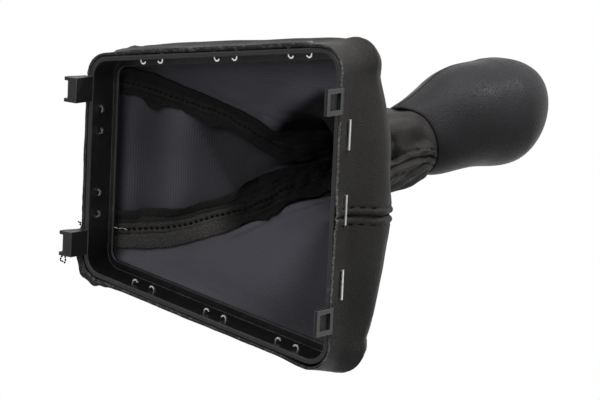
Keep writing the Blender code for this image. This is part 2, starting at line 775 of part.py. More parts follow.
def build_knob():
    """The skin, core and cap of the knob, and the pieces inside its skirt."""
    opening = CAP_RADIUS + GAP
    outside = pear_profile(0.0, opening, 0.0)
    inside = pear_profile(0.0, opening, SKIN)
    turned("knob_cover", outside + inside[::-1], SKIN_FINISH, ROUND_STEPS, shape=bow)
    floor = crown_height(CAP_RADIUS, 0.0) - CAP_THICKNESS - GAP
    side = pear_profile(SKIRT_LIFT, opening, SKIN + GAP)
    bore = SLEEVE_RADIUS + GAP
    core = [(0.0, floor), (opening, floor)] + side[::-1]
    core += [(SKIRT_INNER, SKIRT_LIFT), (SKIRT_INNER, CAVITY_TOP), (bore, CAVITY_TOP)]
    core += [(bore, SLEEVE_END + GAP), (0.0, SLEEVE_END + GAP)]
    turned("knob_core", core, CORE_PLASTIC, ROUND_STEPS, ring=False, shape=bow)
    cap = [(0.0, floor + GAP), (CAP_RADIUS, floor + GAP)]
    for step in range(CROWN_STEPS + 1):
        radius = CAP_RADIUS * (1 - step / CROWN_STEPS)
        cap.append((radius, crown_height(radius, 0.0)))
    turned("knob_cap", cap, PLASTIC, ROUND_STEPS, ring=False, shape=bow)
    tube("lever_sleeve", LEVER_RADIUS, SLEEVE_RADIUS, SLEEVE_START, SLEEVE_LENGTH, SLEEVE_STEEL)
    tube("gaiter_collar", COLLAR_INNER, COLLAR_OUTER, COLLAR_START, COLLAR_LENGTH, PLASTIC)
    tube("gaiter_tie", TIE_INNER, TIE_OUTER, TIE_START, TIE_WIDTH, NYLON)


def stand_on_clips():
    """Hangs every piece on one empty, which lifts the lip over the clips and centres the part."""
    stand = bpy.data.objects.new("stand", None)
    bpy.context.scene.collection.objects.link(stand)
    stand.location = (0.0, (bulge_reach() - CLIP_TIP_REACH) / 2, CLIP_DROP)
    for piece in bpy.context.scene.collection.objects:
        if piece != stand:
            piece.parent = stand


def main():
    clear_scene()
    frame = build_frame()
    for place in clip_places():
        cut_or_join(frame, build_clip(*place), "UNION")
    wide, right, left, wide_again = seam_distances()
    panels = [
        build_panel("gaiter_right_panel", wide, right),
        build_panel("gaiter_narrow_panel", right, left),
        build_panel("gaiter_left_panel", left, wide_again),
    ]
    slots = build_staple_slots()
    for pierced in [frame] + panels:
        cut_or_join(pierced, slots, "DIFFERENCE")
    for number, distance in enumerate(staple_places(), start=1):
        build_staple(f"staple_{number:02d}", distance)
    build_knob()
    stand_on_clips()


main()
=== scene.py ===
"""Looks of the gear knob: its gaiter, lining, seams, threads, knob skin, materials, light and camera.

Everything is in metres in the part's own frame. The gaiter is one lofted surface, the same as the
part's, cut into three panels and given its folds, seams and stitches here.
"""

import math

import bmesh
import bpy
import numpy as np
from mathutils import Matrix, Vector, noise


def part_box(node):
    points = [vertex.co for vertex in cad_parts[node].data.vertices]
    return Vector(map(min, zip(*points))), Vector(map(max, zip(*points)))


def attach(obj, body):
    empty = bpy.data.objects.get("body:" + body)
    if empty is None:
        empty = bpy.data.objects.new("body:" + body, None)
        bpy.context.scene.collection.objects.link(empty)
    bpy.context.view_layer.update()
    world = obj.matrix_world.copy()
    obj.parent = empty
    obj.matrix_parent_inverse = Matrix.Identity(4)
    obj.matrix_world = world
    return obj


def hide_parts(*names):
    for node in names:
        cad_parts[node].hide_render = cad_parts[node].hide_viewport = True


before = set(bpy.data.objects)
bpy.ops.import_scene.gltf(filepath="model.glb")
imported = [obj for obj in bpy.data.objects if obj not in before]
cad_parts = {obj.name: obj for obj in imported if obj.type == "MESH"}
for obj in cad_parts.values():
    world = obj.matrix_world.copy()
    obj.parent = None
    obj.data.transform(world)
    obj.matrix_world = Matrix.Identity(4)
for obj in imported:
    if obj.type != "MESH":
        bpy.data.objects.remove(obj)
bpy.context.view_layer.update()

# Sizes of the part, repeated here in metres
GAP = 0.0003
FRAME_LENGTH = 0.136
FRAME_WIDE = 0.1364
FRAME_NARROW = 0.0956
FRAME_CORNER = 0.010
WALL_HEIGHT = 0.0156
CLIP_DROP = 0.0105
CLIP_TIP_REACH = 0.0050
LEATHER = 0.0012
HEM_OUT = GAP + LEATHER
HEM_HEIGHTS = (0.0004, 0.0062, 0.0117)
BULGE_WIDE = 0.0100
BULGE_SIDE = 0.0020
BULGE_NARROW = 0.0010
BULGE_CORNER = 0.0042
BULGE_FALL = 0.6
BULGE_AT_LEDGE = 0.7
BULGE_AT_WIDEST = 1.1
BULGE_HEIGHT = 0.022
SHOULDER_HEIGHT = 0.034
SHOULDER_INSET = 0.006
SHOULDER_FALL = 0.25
ROOF_HEIGHT = 0.043
ROOF_SHARE = 0.55
ROOF_SAG = 0.017
NECK_BASE = np.array((-0.001, -0.016, 0.053))
NECK_BASE_RADIUS = 0.022
NECK_LOW_DISTANCE = 0.040
NECK_LOW_RADIUS = 0.0190
NECK_HIGH_DISTANCE = 0.018
NECK_HIGH_RADIUS = 0.0182
NECK_TUCK = 0.006
NECK_END = 0.014
NECK_TWIST = math.radians(28)
NECK_RADIUS = 0.011
NECK_AT_RIM = 0.01405
NARROW_PANEL = 0.066
NARROW_PANEL_SHIFT = 0.003
WIDE_SEAM_X = 0.003
NARROW_PANEL_SPREAD = 0.6
FOLDS = 5
FOLD_DEPTH = 0.0022
SLIGHT_FOLD = 0.0011
LAST = 14
SKIRT_LIFT = 0.0035
SKIN = 0.00105
KNOB_RIM = np.array((-0.0129, -0.0292, 0.110))
KNOB_AXIS = np.array((-0.217, -0.202, 0.955))
KNOB_AXIS = KNOB_AXIS / np.linalg.norm(KNOB_AXIS)
RIM_RADIUS = 0.0154
KNOB_RADIUS = 0.0248
KNOB_WIDEST = 0.0488
KNOB_LENGTH = 0.0772
KNOB_FLARE = 0.5
KNOB_CROWN = 1.7
KNOB_BOW = 0.0032
KNOB_LEAN = 0.0040
CAP_RADIUS = 0.013
CAP_THICKNESS = 0.0028

# The leather swells a little against the knob's rim, which leaves a thin dark line there
RIM_SWELL = 0.0013

# The lip's middle in the part's frame
frame_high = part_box("snap_in_frame")[1]
LIP = np.array((0.0, frame_high[1] - FRAME_LENGTH / 2 - CLIP_TIP_REACH, CLIP_DROP))


# materials


class Tree:
    """A node tree and a short way to add nodes to it."""

    def __init__(self, tree):
        self.tree = tree

    def put(self, socket, value):
        """Links an input to another node's output, or gives it a number or a colour."""
        if isinstance(value, bpy.types.NodeSocket):
            self.tree.links.new(value, socket)
        else:
            socket.default_value = (*value, 1.0) if isinstance(value, tuple) else value

    def add(self, kind, settings=None, **inputs):
        """A node with settings for its attributes, and numbers or sockets for its inputs."""
        made = self.tree.nodes.new("ShaderNode" + kind)
        for key, value in (settings or {}).items():
            setattr(made, key, value)
        for key, value in inputs.items():
            self.put(made.inputs[int(key[1:]) if key[0] == "_" else key.replace("_", " ")], value)
        return made

    def math(self, operation, first, second=0.0):
        """One arithmetic node's result."""
        return self.add("Math", {"operation": operation}, _0=first, _1=second).outputs[0]


class Nodes(Tree):
    """A material, its shader and the nodes that it is made with."""

    def __init__(self, name):
        self.material = bpy.data.materials.new(name)
        self.material.use_nodes = True
        super().__init__(self.material.node_tree)
        self.shader = self.tree.nodes["Principled BSDF"]

    def span(self, value, low, high, to_low=0.0, to_high=1.0):
        """Value carried smoothly from one range to another."""
        ends = {"From_Min": low, "From_Max": high, "To_Min": to_low, "To_Max": to_high}
        return self.add("MapRange", {"interpolation_type": "SMOOTHSTEP"}, Value=value, **ends).outputs[0]

    def blend(self, share, first, second):
        """A colour between two colours or sockets."""
        return self.add("Mix", {"data_type": "RGBA"}, _0=share, _6=first, _7=second).outputs[2]

    def noise(self, scale, detail=2.0, roughness=0.5):
        """Noise over the object's own coordinates."""
        inputs = {"Scale": scale, "Detail": detail, "Roughness": roughness}
        return self.add("TexNoise", Vector=self.place(), **inputs).outputs[0]

    def place(self):
        """The object's own coordinates."""
        return self.add("TexCoord").outputs["Object"]

    def painted(self, name):
        """A value that the piece's mesh carries at its points."""
        return self.add("Attribute", {"attribute_name": name}).outputs["Fac"]

    def bump(self, height, distance):
        """A bump of this depth in metres."""
        return self.add("Bump", Height=height, Distance=distance).outputs[0]

    def set(self, **inputs):
        """Sets the shader's inputs."""
        for key, value in inputs.items():
            self.put(self.shader.inputs[key.replace("_", " ")], value)


GRAIN_CELL = 0.00085
# Near black: painted shade on the leather, and the knob's sewn parting
SHADE_AND_SEAM_BLACK = (0.002, 0.002, 0.002)


def leather(name, dark, light, depth, rough, gloss, with_painted_shade=0.0, painted_falloff=0.0):
    """Grained leather: round cells with fine creases, uneven colour and patches worn smooth.

    It is darkened by the painted shade that its mesh carries, and by painted shade that deepens
    towards its +X side.
    """
    made = Nodes(name)
    warp = made.noise(350.0, 2.0)
    shift = made.add("CombineXYZ", X=warp, Y=warp, Z=warp).outputs[0]
    moved = made.add("VectorMath", {"operation": "SCALE"}, _0=shift)
    moved.inputs["Scale"].default_value = 0.0006
    where = made.add("VectorMath", {"operation": "ADD"}, _0=made.place(), _1=moved.outputs[0]).outputs[0]
    cells = made.add("TexVoronoi", {"feature": "DISTANCE_TO_EDGE"}, Vector=where, Scale=1.0 / GRAIN_CELL)
    crease = made.span(cells.outputs[0], 0.0, 0.22)
    pores = made.noise(3600.0, 2.0)
    height = made.math("ADD", crease, made.math("MULTIPLY", pores, 0.35))
    tone = made.span(made.noise(38.0, 3.0), 0.3, 0.72)
    colour = made.blend(tone, dark, light)
    in_crease = made.math("MULTIPLY", made.math("SUBTRACT", 1.0, crease), 0.45)
    shaded = made.blend(in_crease, colour, (0.004, 0.004, 0.004))
    # Painted shade that the mesh carries
    if with_painted_shade:
        painted_shade = made.math("MULTIPLY", made.painted("painted_shade"), with_painted_shade)
        shaded = made.blend(painted_shade, shaded, (0.0035, 0.0034, 0.0034))
    # Painted shade, deepening towards the +X side
    if painted_falloff:
        across = made.add("SeparateXYZ", Vector=made.place()).outputs[0]
        shaded = made.blend(made.span(across, -0.055, 0.075, 0.0, painted_falloff), shaded, SHADE_AND_SEAM_BLACK)
    roughness = made.span(made.noise(90.0, 2.0), 0.25, 0.75, rough - 0.06, rough + 0.08)
    made.set(Base_Color=shaded, Roughness=roughness, Normal=made.bump(height, depth))
    made.set(Specular_IOR_Level=gloss)
    return made.material


def knob_leather():
    """The grip's fine-grained skin: bluish grey, darker in its sewn parting, glossy where hands rub it."""
    made = Nodes("knob_leather")
    cells = made.add("TexVoronoi", {"feature": "F1"}, Vector=made.place(), Scale=1.0 / 0.00075)
    grain = made.span(cells.outputs[0], 0.0, 0.55, 1.0, 0.0)
    pores = made.noise(3000.0, 2.0)
    height = made.math("ADD", grain, made.math("MULTIPLY", pores, 0.5))
    tone = made.span(made.noise(45.0, 3.0), 0.3, 0.7)
    colour = made.blend(tone, (0.0215, 0.0210, 0.0225), (0.0285, 0.0280, 0.0302))
    colour = made.blend(made.painted("parting"), colour, SHADE_AND_SEAM_BLACK)
    wear_and_edge_highlight = made.noise(55.0, 2.0)
    made.set(Base_Color=colour, Roughness=made.span(wear_and_edge_highlight, 0.3, 0.7, 0.33, 0.46))
    made.set(Normal=made.bump(height, 0.00012), Specular_IOR_Level=0.08)
    return made.material


def lining():
    """The gaiter's ribbed fabric back: faint ribs along the hem, knitted loops, painted shade near the
    lever.
    """
    made = Nodes("ribbed_lining")
    uv = made.add("UVMap", {"uv_map": "cloth"}).outputs[0]
    parts = made.add("SeparateXYZ", Vector=uv)
    wander = made.math("MULTIPLY", made.noise(160.0, 2.0), 0.0005)
    up = made.math("ADD", parts.outputs[1], wander)
    ribs = made.math("SINE", made.math("MULTIPLY", up, 2 * math.pi / 0.00105))
    loops = made.math("SINE", made.math("MULTIPLY", parts.outputs[0], 2 * math.pi / 0.0007))
    fuzz = made.noise(2600.0, 3.0)
    height = made.math("ADD", made.math("MULTIPLY", ribs, 0.22), made.math("MULTIPLY", loops, 0.08))
    height = made.math("ADD", height, made.math("MULTIPLY", fuzz, 0.7))
    rib_tone = made.math("ADD", made.math("MULTIPLY", ribs, 0.40), fuzz)
    lit = made.span(rib_tone, -0.6, 1.5)
    colour = made.blend(lit, (0.078, 0.077, 0.090), (0.128, 0.126, 0.149))
    patches = made.span(made.noise(30.0, 4.0), 0.42, 0.8, 0.0, 0.5)
    stained = made.blend(patches, colour, (0.068, 0.066, 0.077))
    # Painted shade that the mesh carries
    painted_shade = made.math("MULTIPLY", made.painted("painted_shade"), 0.97)
    with_painted_shade = made.blend(painted_shade, stained, (0.0020, 0.0020, 0.0021))
    made.set(Base_Color=with_painted_shade, Roughness=0.9, Normal=made.bump(height, 0.00022))
    made.set(Specular_IOR_Level=0.12)
    return made.material


def cut_edge():
    """The hem's cut edge: fibres between dark skin and fabric, frayed pale at the wide end."""
    made = Nodes("cut_edge")
    fibres = made.noise(1500.0, 3.0)
    parts = made.add("SeparateXYZ", Vector=made.place())
    frayed = made.span(parts.outputs[1], -0.060, -0.066)
    crumbs = made.math("MULTIPLY", made.span(made.noise(420.0, 3.0), 0.48, 0.62), 0.5)
    share = made.math("MAXIMUM", frayed, crumbs)
    dark = made.blend(made.span(fibres, 0.4, 0.62), (0.016, 0.016, 0.016), (0.045, 0.045, 0.045))
    pale = made.blend(made.span(fibres, 0.42, 0.60), (0.05, 0.05, 0.05), (0.20, 0.20, 0.20))
    made.set(Base_Color=made.blend(share, dark, pale), Roughness=0.9, Normal=made.bump(fibres, 0.0004))
    made.set(Specular_IOR_Level=0.15)
    return made.material


def frame_painted_light(made, colour):
    """Painted highlight on the wide clips' ring faces, painted shade in pockets and on one side's long
    wall.
    """
    parts = made.add("SeparateXYZ", Vector=made.place())
    clip = made.span(parts.outputs[2], 0.0104, 0.0100)
    wide_end = float(LIP[1]) - FRAME_LENGTH / 2
    wide = made.span(parts.outputs[1], wide_end + 0.004, wide_end + 0.001)
    ring = made.span(parts.outputs[1], wide_end - 0.0018, wide_end - 0.0021)
    on_clip = made.math("MULTIPLY", clip, wide)
    colour = made.blend(on_clip, colour, (0.007, 0.007, 0.007))
    colour = made.blend(made.math("MULTIPLY", on_clip, ring), colour, (0.070, 0.070, 0.071))
    above_lip = made.span(parts.outputs[2], 0.0106, 0.0112)
    side = made.span(parts.outputs[0], 0.020, 0.042)
    return made.blend(made.math("MULTIPLY", above_lip, side), colour, (0.003, 0.003, 0.003))


def plastic(name, dark, light, rough, scuff=0.25, wear_and_edge_highlight=0.0, gloss=0.35):
    """Moulded plastic: fine spark texture, uneven gloss, pale scuffs and patchy painted highlights on
    edges.
    """
    made = Nodes(name)
    grain = made.noise(2200.0, 3.0)
    marks = made.noise(260.0, 4.0, roughness=0.7)
    scuffs = made.span(marks, 0.6, 0.74, 0.0, scuff)
    colour = made.blend(made.span(made.noise(60.0, 2.0), 0.3, 0.7), dark, light)
    colour = made.blend(scuffs, colour, (0.12, 0.12, 0.122))
    # The frame's painted light and shade, and painted highlights along its edges
    if wear_and_edge_highlight:
        colour = frame_painted_light(made, colour)
        soft = made.add("Bevel", {"samples": 4}, Radius=0.0005).outputs[0]
        flat = made.add("NewGeometry").outputs["Normal"]
        same = made.add("VectorMath", {"operation": "DOT_PRODUCT"}, _0=soft, _1=flat).outputs["Value"]
        edge = made.span(same, 0.80, 0.985, wear_and_edge_highlight, 0.0)
        edge_highlight = made.math("MULTIPLY", edge, made.span(made.noise(180.0, 3.0), 0.30, 0.62, 0.35, 1.0))
        colour = made.blend(edge_highlight, colour, (0.17, 0.17, 0.172))
    roughness = made.span(marks, 0.3, 0.75, rough - 0.07, rough + 0.12)
    made.set(Base_Color=colour, Roughness=roughness, Normal=made.bump(grain, 0.00006))
    made.set(Specular_IOR_Level=gloss)
    return made.material


def metal(name, grain, dull_from, bright, dull, rough):
    """Bare metal with drawing or turning marks and dull spots."""
    made = Nodes(name)
    spots = made.noise(*grain)
    colour = made.blend(made.span(spots, *dull_from), bright, dull)
    made.set(Base_Color=colour, Metallic=1.0, Roughness=made.span(spots, 0.3, 0.7, *rough))
    return made.material


def thread(name, dark, light):
    """Twisted sewing thread."""
    made = Nodes(name)
    twist = made.noise(2400.0, 1.0)
    made.set(Base_Color=made.blend(made.span(twist, 0.35, 0.65), dark, light), Roughness=0.95)
    made.set(Normal=made.bump(twist, 0.00015), Specular_IOR_Level=0.08)
    return made.material


OUTSIDE_TONES = ((0.028, 0.0262, 0.0246), (0.043, 0.0402, 0.0380))
FOLDED_TONES = ((0.072, 0.0695, 0.0660), (0.112, 0.1080, 0.1020))
# The outside leather has painted shade towards +X, the allowances the painted shade of their mesh
GRAIN = leather("gaiter_leather", *OUTSIDE_TONES, depth=0.00015, rough=0.50, gloss=0.17, painted_falloff=0.55)
FOLDED = leather("allowance_leather", *FOLDED_TONES, depth=0.00022, rough=0.70, gloss=0.12, with_painted_shade=0.95)
SKIN_LEATHER = knob_leather()
LINING = lining()
EDGE = cut_edge()
FRAME_TONES = ((0.014, 0.014, 0.0142), (0.022, 0.022, 0.0223))
# The frame carries painted highlights on its edges, and painted light and shade
FRAME_PLASTIC = plastic("frame_plastic", *FRAME_TONES, rough=0.42, scuff=0.3, wear_and_edge_highlight=0.85, gloss=0.22)
CORE = plastic("core_grey", (0.06, 0.06, 0.06), (0.09, 0.09, 0.09), rough=0.5)
CAP = plastic("cap_black", (0.012, 0.012, 0.012), (0.018, 0.018, 0.018), rough=0.22, scuff=0.08)
NYLON = plastic("nylon_black", (0.012, 0.012, 0.012), (0.02, 0.02, 0.02), rough=0.45)
WIRE_TONES = ((0.66, 0.65, 0.63), (0.40, 0.39, 0.38))
STEEL_TONES = ((0.42, 0.42, 0.43), (0.30, 0.30, 0.31))
WIRE = metal("staple_wire", (900.0, 3.0), (0.5, 0.75), *WIRE_TONES, rough=(0.26, 0.42))
STEEL = metal("turned_steel", (1200.0, 2.0), (0.4, 0.7), *STEEL_TONES, rough=(0.3, 0.45))
BLACK_THREAD = thread("black_thread", (0.002, 0.002, 0.002), (0.008, 0.008, 0.008))
GREY_THREAD = thread("grey_thread", (0.022, 0.022, 0.022), (0.048, 0.047, 0.046))
PALE_THREAD = thread("pale_thread", (0.30, 0.30, 0.30), (0.55, 0.55, 0.55))


# the gaiter's surface


def wall_table(steps=6000):
    """Distances round the wall's outline from the middle of the wide end, its points and normals."""
    ends = (-FRAME_LENGTH / 2, FRAME_LENGTH / 2)
    corners = [
        Vector((FRAME_WIDE / 2, ends[0])),
        Vector((FRAME_NARROW / 2, ends[1])),
        Vector((-FRAME_NARROW / 2, ends[1])),
        Vector((-FRAME_WIDE / 2, ends[0])),
    ]
    pieces = []
    here = Vector((0.0, ends[0]))
    for index, corner in enumerate(corners):
        way_in = (corner - corners[index - 1]).normalized()
        way_out = (corners[(index + 1) % 4] - corner).normalized()
        turn = way_in.angle(way_out)
        reach = FRAME_CORNER * math.tan(turn / 2)
        start = corner - way_in * reach
        pieces.append(("line", here, way_in, (start - here).length))
        centre = start + Vector((-way_in.y, way_in.x)) * FRAME_CORNER
        pieces.append(("arc", centre, way_in, FRAME_CORNER * turn))
        here = corner + way_out * reach
    pieces.append(("line", here, way_out, abs(here.x)))
    breaks = np.cumsum([0.0] + [piece[3] for piece in pieces])
    distances = np.linspace(0.0, breaks[-1], steps)
    points = np.zeros((steps, 2))
    normals = np.zeros((steps, 2))
    for row, distance in enumerate(distances):
        index = min(int(np.searchsorted(breaks, distance, "right")) - 1, len(pieces) - 1)
        kind, place, way, _ = pieces[index]
        along = distance - breaks[index]
        outward = Vector((way.y, -way.x))
        if kind == "line":
            point = place + way * along
        else:
            outward.rotate(Matrix.Rotation(along / FRAME_CORNER, 2))
            point = place + outward * FRAME_CORNER
        points[row] = point
        normals[row] = outward
    return distances, points, normals, breaks


WALL_AT, WALL_POINTS, WALL_NORMALS, BREAKS = wall_table()
AROUND = float(BREAKS[-1])
NARROW_MIDDLE = (BREAKS[4] + BREAKS[5]) / 2 + NARROW_PANEL_SHIFT
SEAM_C = WIDE_SEAM_X
SEAM_B = NARROW_MIDDLE - NARROW_PANEL / 2
SEAM_A = NARROW_MIDDLE + NARROW_PANEL / 2

# Each seam wanders from its straight path, between these rows, by this distance round the wall
SWING_A = 0.040
SWING_A_ROWS = (5.9, 7.6)
SWING_B = 0.0155
SWING_B_ROWS = (6.0, 7.2)
SWING_C = 0.078
SWING_C_ROWS = (7.0, 8.4, 8.9, 11.8)


def wall_at(distances):
    """Points and outward directions of the wall's outline."""
    turned = np.mod(distances, AROUND)
    point = np.stack([np.interp(turned, WALL_AT, WALL_POINTS[:, axis]) for axis in (0, 1)], axis=-1)
    normal = np.stack([np.interp(turned, WALL_AT, WALL_NORMALS[:, axis]) for axis in (0, 1)], axis=-1)
    return point, normal


def corner_fall(distances):
    """0 at the middle of the wide end and 1 from its corners round."""
    turned = np.mod(distances, AROUND)
    away = np.minimum(turned, AROUND - turned) / (FRAME_WIDE / 2)
    return np.minimum(1.0, away * away)


def wall_ring(distances, height, out, bulge):
    """Points beside the wall, as the part's source has them."""
    point, normal = wall_at(distances)
    facing = np.maximum(0.0, -normal[:, 1])
    swelling = BULGE_WIDE * (1.0 - BULGE_FALL * corner_fall(distances)) * facing**2
    swelling += BULGE_SIDE * normal[:, 0] ** 2
    swelling += BULGE_NARROW * np.maximum(0.0, normal[:, 1]) ** 2
    swelling += BULGE_CORNER * 2 * facing * np.abs(normal[:, 0])
    flat = point + normal * (out + bulge * swelling)[:, None]
    return np.column_stack([flat, np.broadcast_to(height, len(flat))])


def neck_frame(distance):
    """The neck's middle and its two cross directions, this far below the knob's rim."""
    drop = np.linalg.norm(KNOB_RIM - NECK_BASE)
    share = min(max(distance / drop, 0.0), 1.0)
    straight = KNOB_RIM - KNOB_AXIS * distance
    direction = KNOB_AXIS
    centre = straight
    if distance > 0:
        bent = KNOB_RIM + (NECK_BASE - KNOB_RIM) * share
        direction = KNOB_AXIS * (1 - share) + np.array((0.0, 0.0, 1.0)) * share
        direction = direction / np.linalg.norm(direction)
        centre = straight + (bent - straight) * share
    side = np.array((1.0, 0.0, 0.0)) - direction * direction[0]
    side /= np.linalg.norm(side)
    return centre, side, np.cross(direction, side)


def neck_ring(distances, distance, radius, fold):
    """Points round the neck."""
    centre, side, front = neck_frame(distance)
    turn = 2 * math.pi * np.mod(distances, AROUND) / AROUND
    angle = turn - NARROW_PANEL_SPREAD * np.sin(turn) - math.pi / 2 + NECK_TWIST
    reach = radius + fold * np.cos(FOLDS * angle)
    return centre + np.outer(reach * np.cos(angle), side) + np.outer(reach * np.sin(angle), front)


def control_rings(distances):
    """The gaiter's control points: (places round the wall, 15, 3)."""
    lower = 1.0 - SHOULDER_FALL * corner_fall(distances)
    base_distance = np.linalg.norm(KNOB_RIM - NECK_BASE)
    shoulder = wall_ring(distances, SHOULDER_HEIGHT * lower, HEM_OUT - SHOULDER_INSET, 1.0)
    base = neck_ring(distances, base_distance, NECK_BASE_RADIUS, SLIGHT_FOLD)
    roof = shoulder + (base - shoulder) * ROOF_SHARE
    roof[:, 2] = ROOF_HEIGHT
    roof[:, 0] += ROOF_SAG * (0.5 + shoulder[:, 0] / FRAME_WIDE)
    rings = [wall_ring(distances, height, HEM_OUT, 0.0) for height in HEM_HEIGHTS]
    rings += [
        wall_ring(distances, WALL_HEIGHT, HEM_OUT, BULGE_AT_LEDGE),
        wall_ring(distances, BULGE_HEIGHT * lower, HEM_OUT, BULGE_AT_WIDEST),
        shoulder,
        roof,
        base,
        neck_ring(distances, NECK_LOW_DISTANCE, NECK_LOW_RADIUS, FOLD_DEPTH),
        neck_ring(distances, NECK_HIGH_DISTANCE, NECK_HIGH_RADIUS, SLIGHT_FOLD),
        neck_ring(distances, SKIRT_LIFT, NECK_AT_RIM + RIM_SWELL, 0.0),
        neck_ring(distances, 0.0, NECK_AT_RIM + RIM_SWELL, 0.0),
        neck_ring(distances, -SKIRT_LIFT, NECK_RADIUS, 0.0),
        neck_ring(distances, -NECK_TUCK, NECK_RADIUS, 0.0),
        neck_ring(distances, -NECK_END, NECK_RADIUS, 0.0),
    ]
    return np.stack(rings, axis=1)


def spline_row(controls, place):
    """One row of the uniform cubic B-spline through the control rings."""
    low = min(int(place), LAST - 1)
    t = place - low
    before = 2 * controls[:, 0] - controls[:, 1] if low == 0 else controls[:, low - 1]
    after = 2 * controls[:, LAST] - controls[:, LAST - 1] if low == LAST - 1 else controls[:, low + 2]
    row = (1 - t) ** 3 / 6 * before
    row += (3 * t**3 - 6 * t**2 + 4) / 6 * controls[:, low]
    row += (-3 * t**3 + 3 * t**2 + 3 * t + 1) / 6 * controls[:, low + 1]
    return row + t**3 / 6 * after


def lengths_along(points, axis):
    """Running lengths along one axis of a grid of points."""
    steps = np.linalg.norm(np.diff(points, axis=axis), axis=2)
    start = np.zeros_like(np.take(steps, [0], axis=axis))
    return np.cumsum(np.concatenate([start, steps], axis=axis), axis=axis)


def grid_normals(points):
    """Outward normals of a grid of points, rows from the hem up and columns round the wall."""
    along = np.gradient(points, axis=1)
    ends = (points[:, 1] - points[:, -2]) / 2
    along[:, 0] = ends
    along[:, -1] = ends
    up = np.gradient(points, axis=0)
    normal = np.cross(along, up)
    return normal / np.maximum(np.linalg.norm(normal, axis=2), 1e-12)[:, :, None]


def rough_noise(points, scale, seed=0.0):
    """Smooth noise from -1 to 1 at each point of a grid."""
    flat = points.reshape(-1, 3) * scale + seed
    values = np.array([noise.noise(Vector(point)) for point in flat])
    return values.reshape(points.shape[:-1])


def bell(value, width):
    """1 at 0, falling to nothing past about twice the width."""
    return np.exp(-((value / width) ** 2))


def step_up(value, low, high):
    """0 below low, 1 above high, smooth between."""
    share = np.clip((value - low) / (high - low), 0.0, 1.0)
    return share * share * (3 - 2 * share)


def place_in_row(columns, row):
    """Where one row's columns lie round the wall, with the seams swung as they are sewn."""
    swing_a = -SWING_A * step_up(row, *SWING_A_ROWS)
    swing_b = -SWING_B * step_up(row, *SWING_B_ROWS)
    swing_c = -SWING_C * step_up(row, *SWING_C_ROWS[:2]) * (1 - step_up(row, *SWING_C_ROWS[2:]))
    seams = (SEAM_C, SEAM_B, SEAM_A, SEAM_C + AROUND)
    swings = (swing_c, swing_b, swing_a, swing_c)
    placed = columns.copy()
    for index in range(3):
        low, high = seams[index : index + 2]
        inside = (columns >= low) & (columns <= high)
        share = step_up(columns, low, high)
        swing = swings[index] + (swings[index + 1] - swings[index]) * share
        placed = np.where(inside, columns + swing, placed)
    return placed


# How far apart the gaiter's columns lie: beside the seams, at three corners and elsewhere
SEAM_REACH = 0.0105
SEAM_SPACING = 0.0006
CORNER_REACH = 0.012
CORNER_SPACING = 0.0012
COLUMN_SPACING = 0.0021
LEAST_SPACING = 0.0005

# Its rows: many up to the knob's rim, few inside it
ROWS = ((0, 11.5, 190), (11.7, LAST, 14))

STITCH = 0.0048
STITCH_LINE = 0.0036
INNER_STITCH = 0.0030
PITCH_INSIDE = 0.0026

# How deep the leather's unevenness is: slow folds (scale, seed, depth), creases and seam puckers
SLOW_FOLDS = ((22.0, 0.0, 0.0013), (55.0, 9.0, 0.0006))
CREASES = 0.0003
PUCKER = 0.00032
PUCKER_PITCH = 0.0092
SEAM_RIDGE = 0.00055
STITCH_DENT = 0.00045
HOLE_DENT = 0.00040
PLEAT = 0.0008

# Folds of the roof, the narrow panel and the neck
TURN_RIDGE = 0.0011
WAVE = 0.0009
WAVE_ROWS = 0.78
NECK_CREASE = 0.0026
NECK_LOBE = 0.0014
NECK_SWELL = 0.0006

# The neck's twisted folds: how many go round it, how far they lean in a row, and how deep they are
NECK_TWISTS = ((7, 2.2, 0.0009), (11, -3.1, 0.0004))

# The cut hem's unevenness: how far it drops everywhere, by waves and by fibres, and its pull at the seam
HEM_DROP = 0.00035
HEM_WAVE = 0.0006
HEM_FIBRES = 0.0002
HEM_PULL = 0.0011

# Where the lining folds over into the dark neck: (place round the wall, row) on each panel
TURN_RIGHT = ((0.100, 8.2), (0.160, 8.0), (0.167, 7.55), (0.182, 7.0), (0.192, 6.5))
TURN_NARROW = ((0.214, 6.4), (0.229, 6.22), (0.245, 6.0), (0.2575, 5.8), (0.269, 5.62), (0.2755, 5.5))
TURN_LEFT = ((0.266, 6.8), (0.296, 6.62), (0.362, 5.80), (0.388, 5.5), (0.430, 5.45))
TURN_DEPTH = 0.0042

# Bumps and hollows of the leather that its outline shows: (place, row, their widths, how far out)
OUTLINE_BUMPS = (
    (0.4340, 4.2, 0.0160, 2.4, -0.0021),
    (0.0500, 3.9, 0.0220, 2.1, -0.0016),
    (0.0640, 4.4, 0.0090, 2.0, -0.0009),
    (0.0700, 2.6, 0.0065, 2.0, 0.0021),
    (0.0770, 2.2, 0.0075, 2.1, 0.0024),
    (0.3050, 3.0, 0.0110, 1.5, -0.0006),
    (SEAM_C, 3.9, 0.0120, 1.5, 0.0015),
    (0.0560, 9.35, 0.0300, 0.5, 0.0017),
    (0.3300, 3.0, 0.0400, 1.6, 0.0006),
    (0.1350, 0.7, 0.0500, 1.2, 0.0004),
    (0.2450, 1.0, 0.0300, 1.8, 0.0003),
)

# The hem is turned over on the -X side, over part of the staples' crowns, and is bunched at the
# +X corner of the narrow end
HEM_ROLL = 0.0013
BUNCH = 0.0030
BUNCH_PLEAT = 0.0006

# Painted shade on the lining, from 0 to 1: the narrow panel with its painted lit waves (row, width,
# share) and one painted lit spot, the wide end of the right panel, each panel past its fold, and the neck
NARROW_SHADE = 0.60
LIT_WAVES = ((5.54, 0.22, 0.36), (4.75, 0.20, 0.10))
LIT_SPOT = 0.16
DIM_END = 0.58
PAST_NARROW = 0.76
PAST_LEFT = 1.0
PAST_RIGHT = 0.9
NECK_SHADE = 0.52


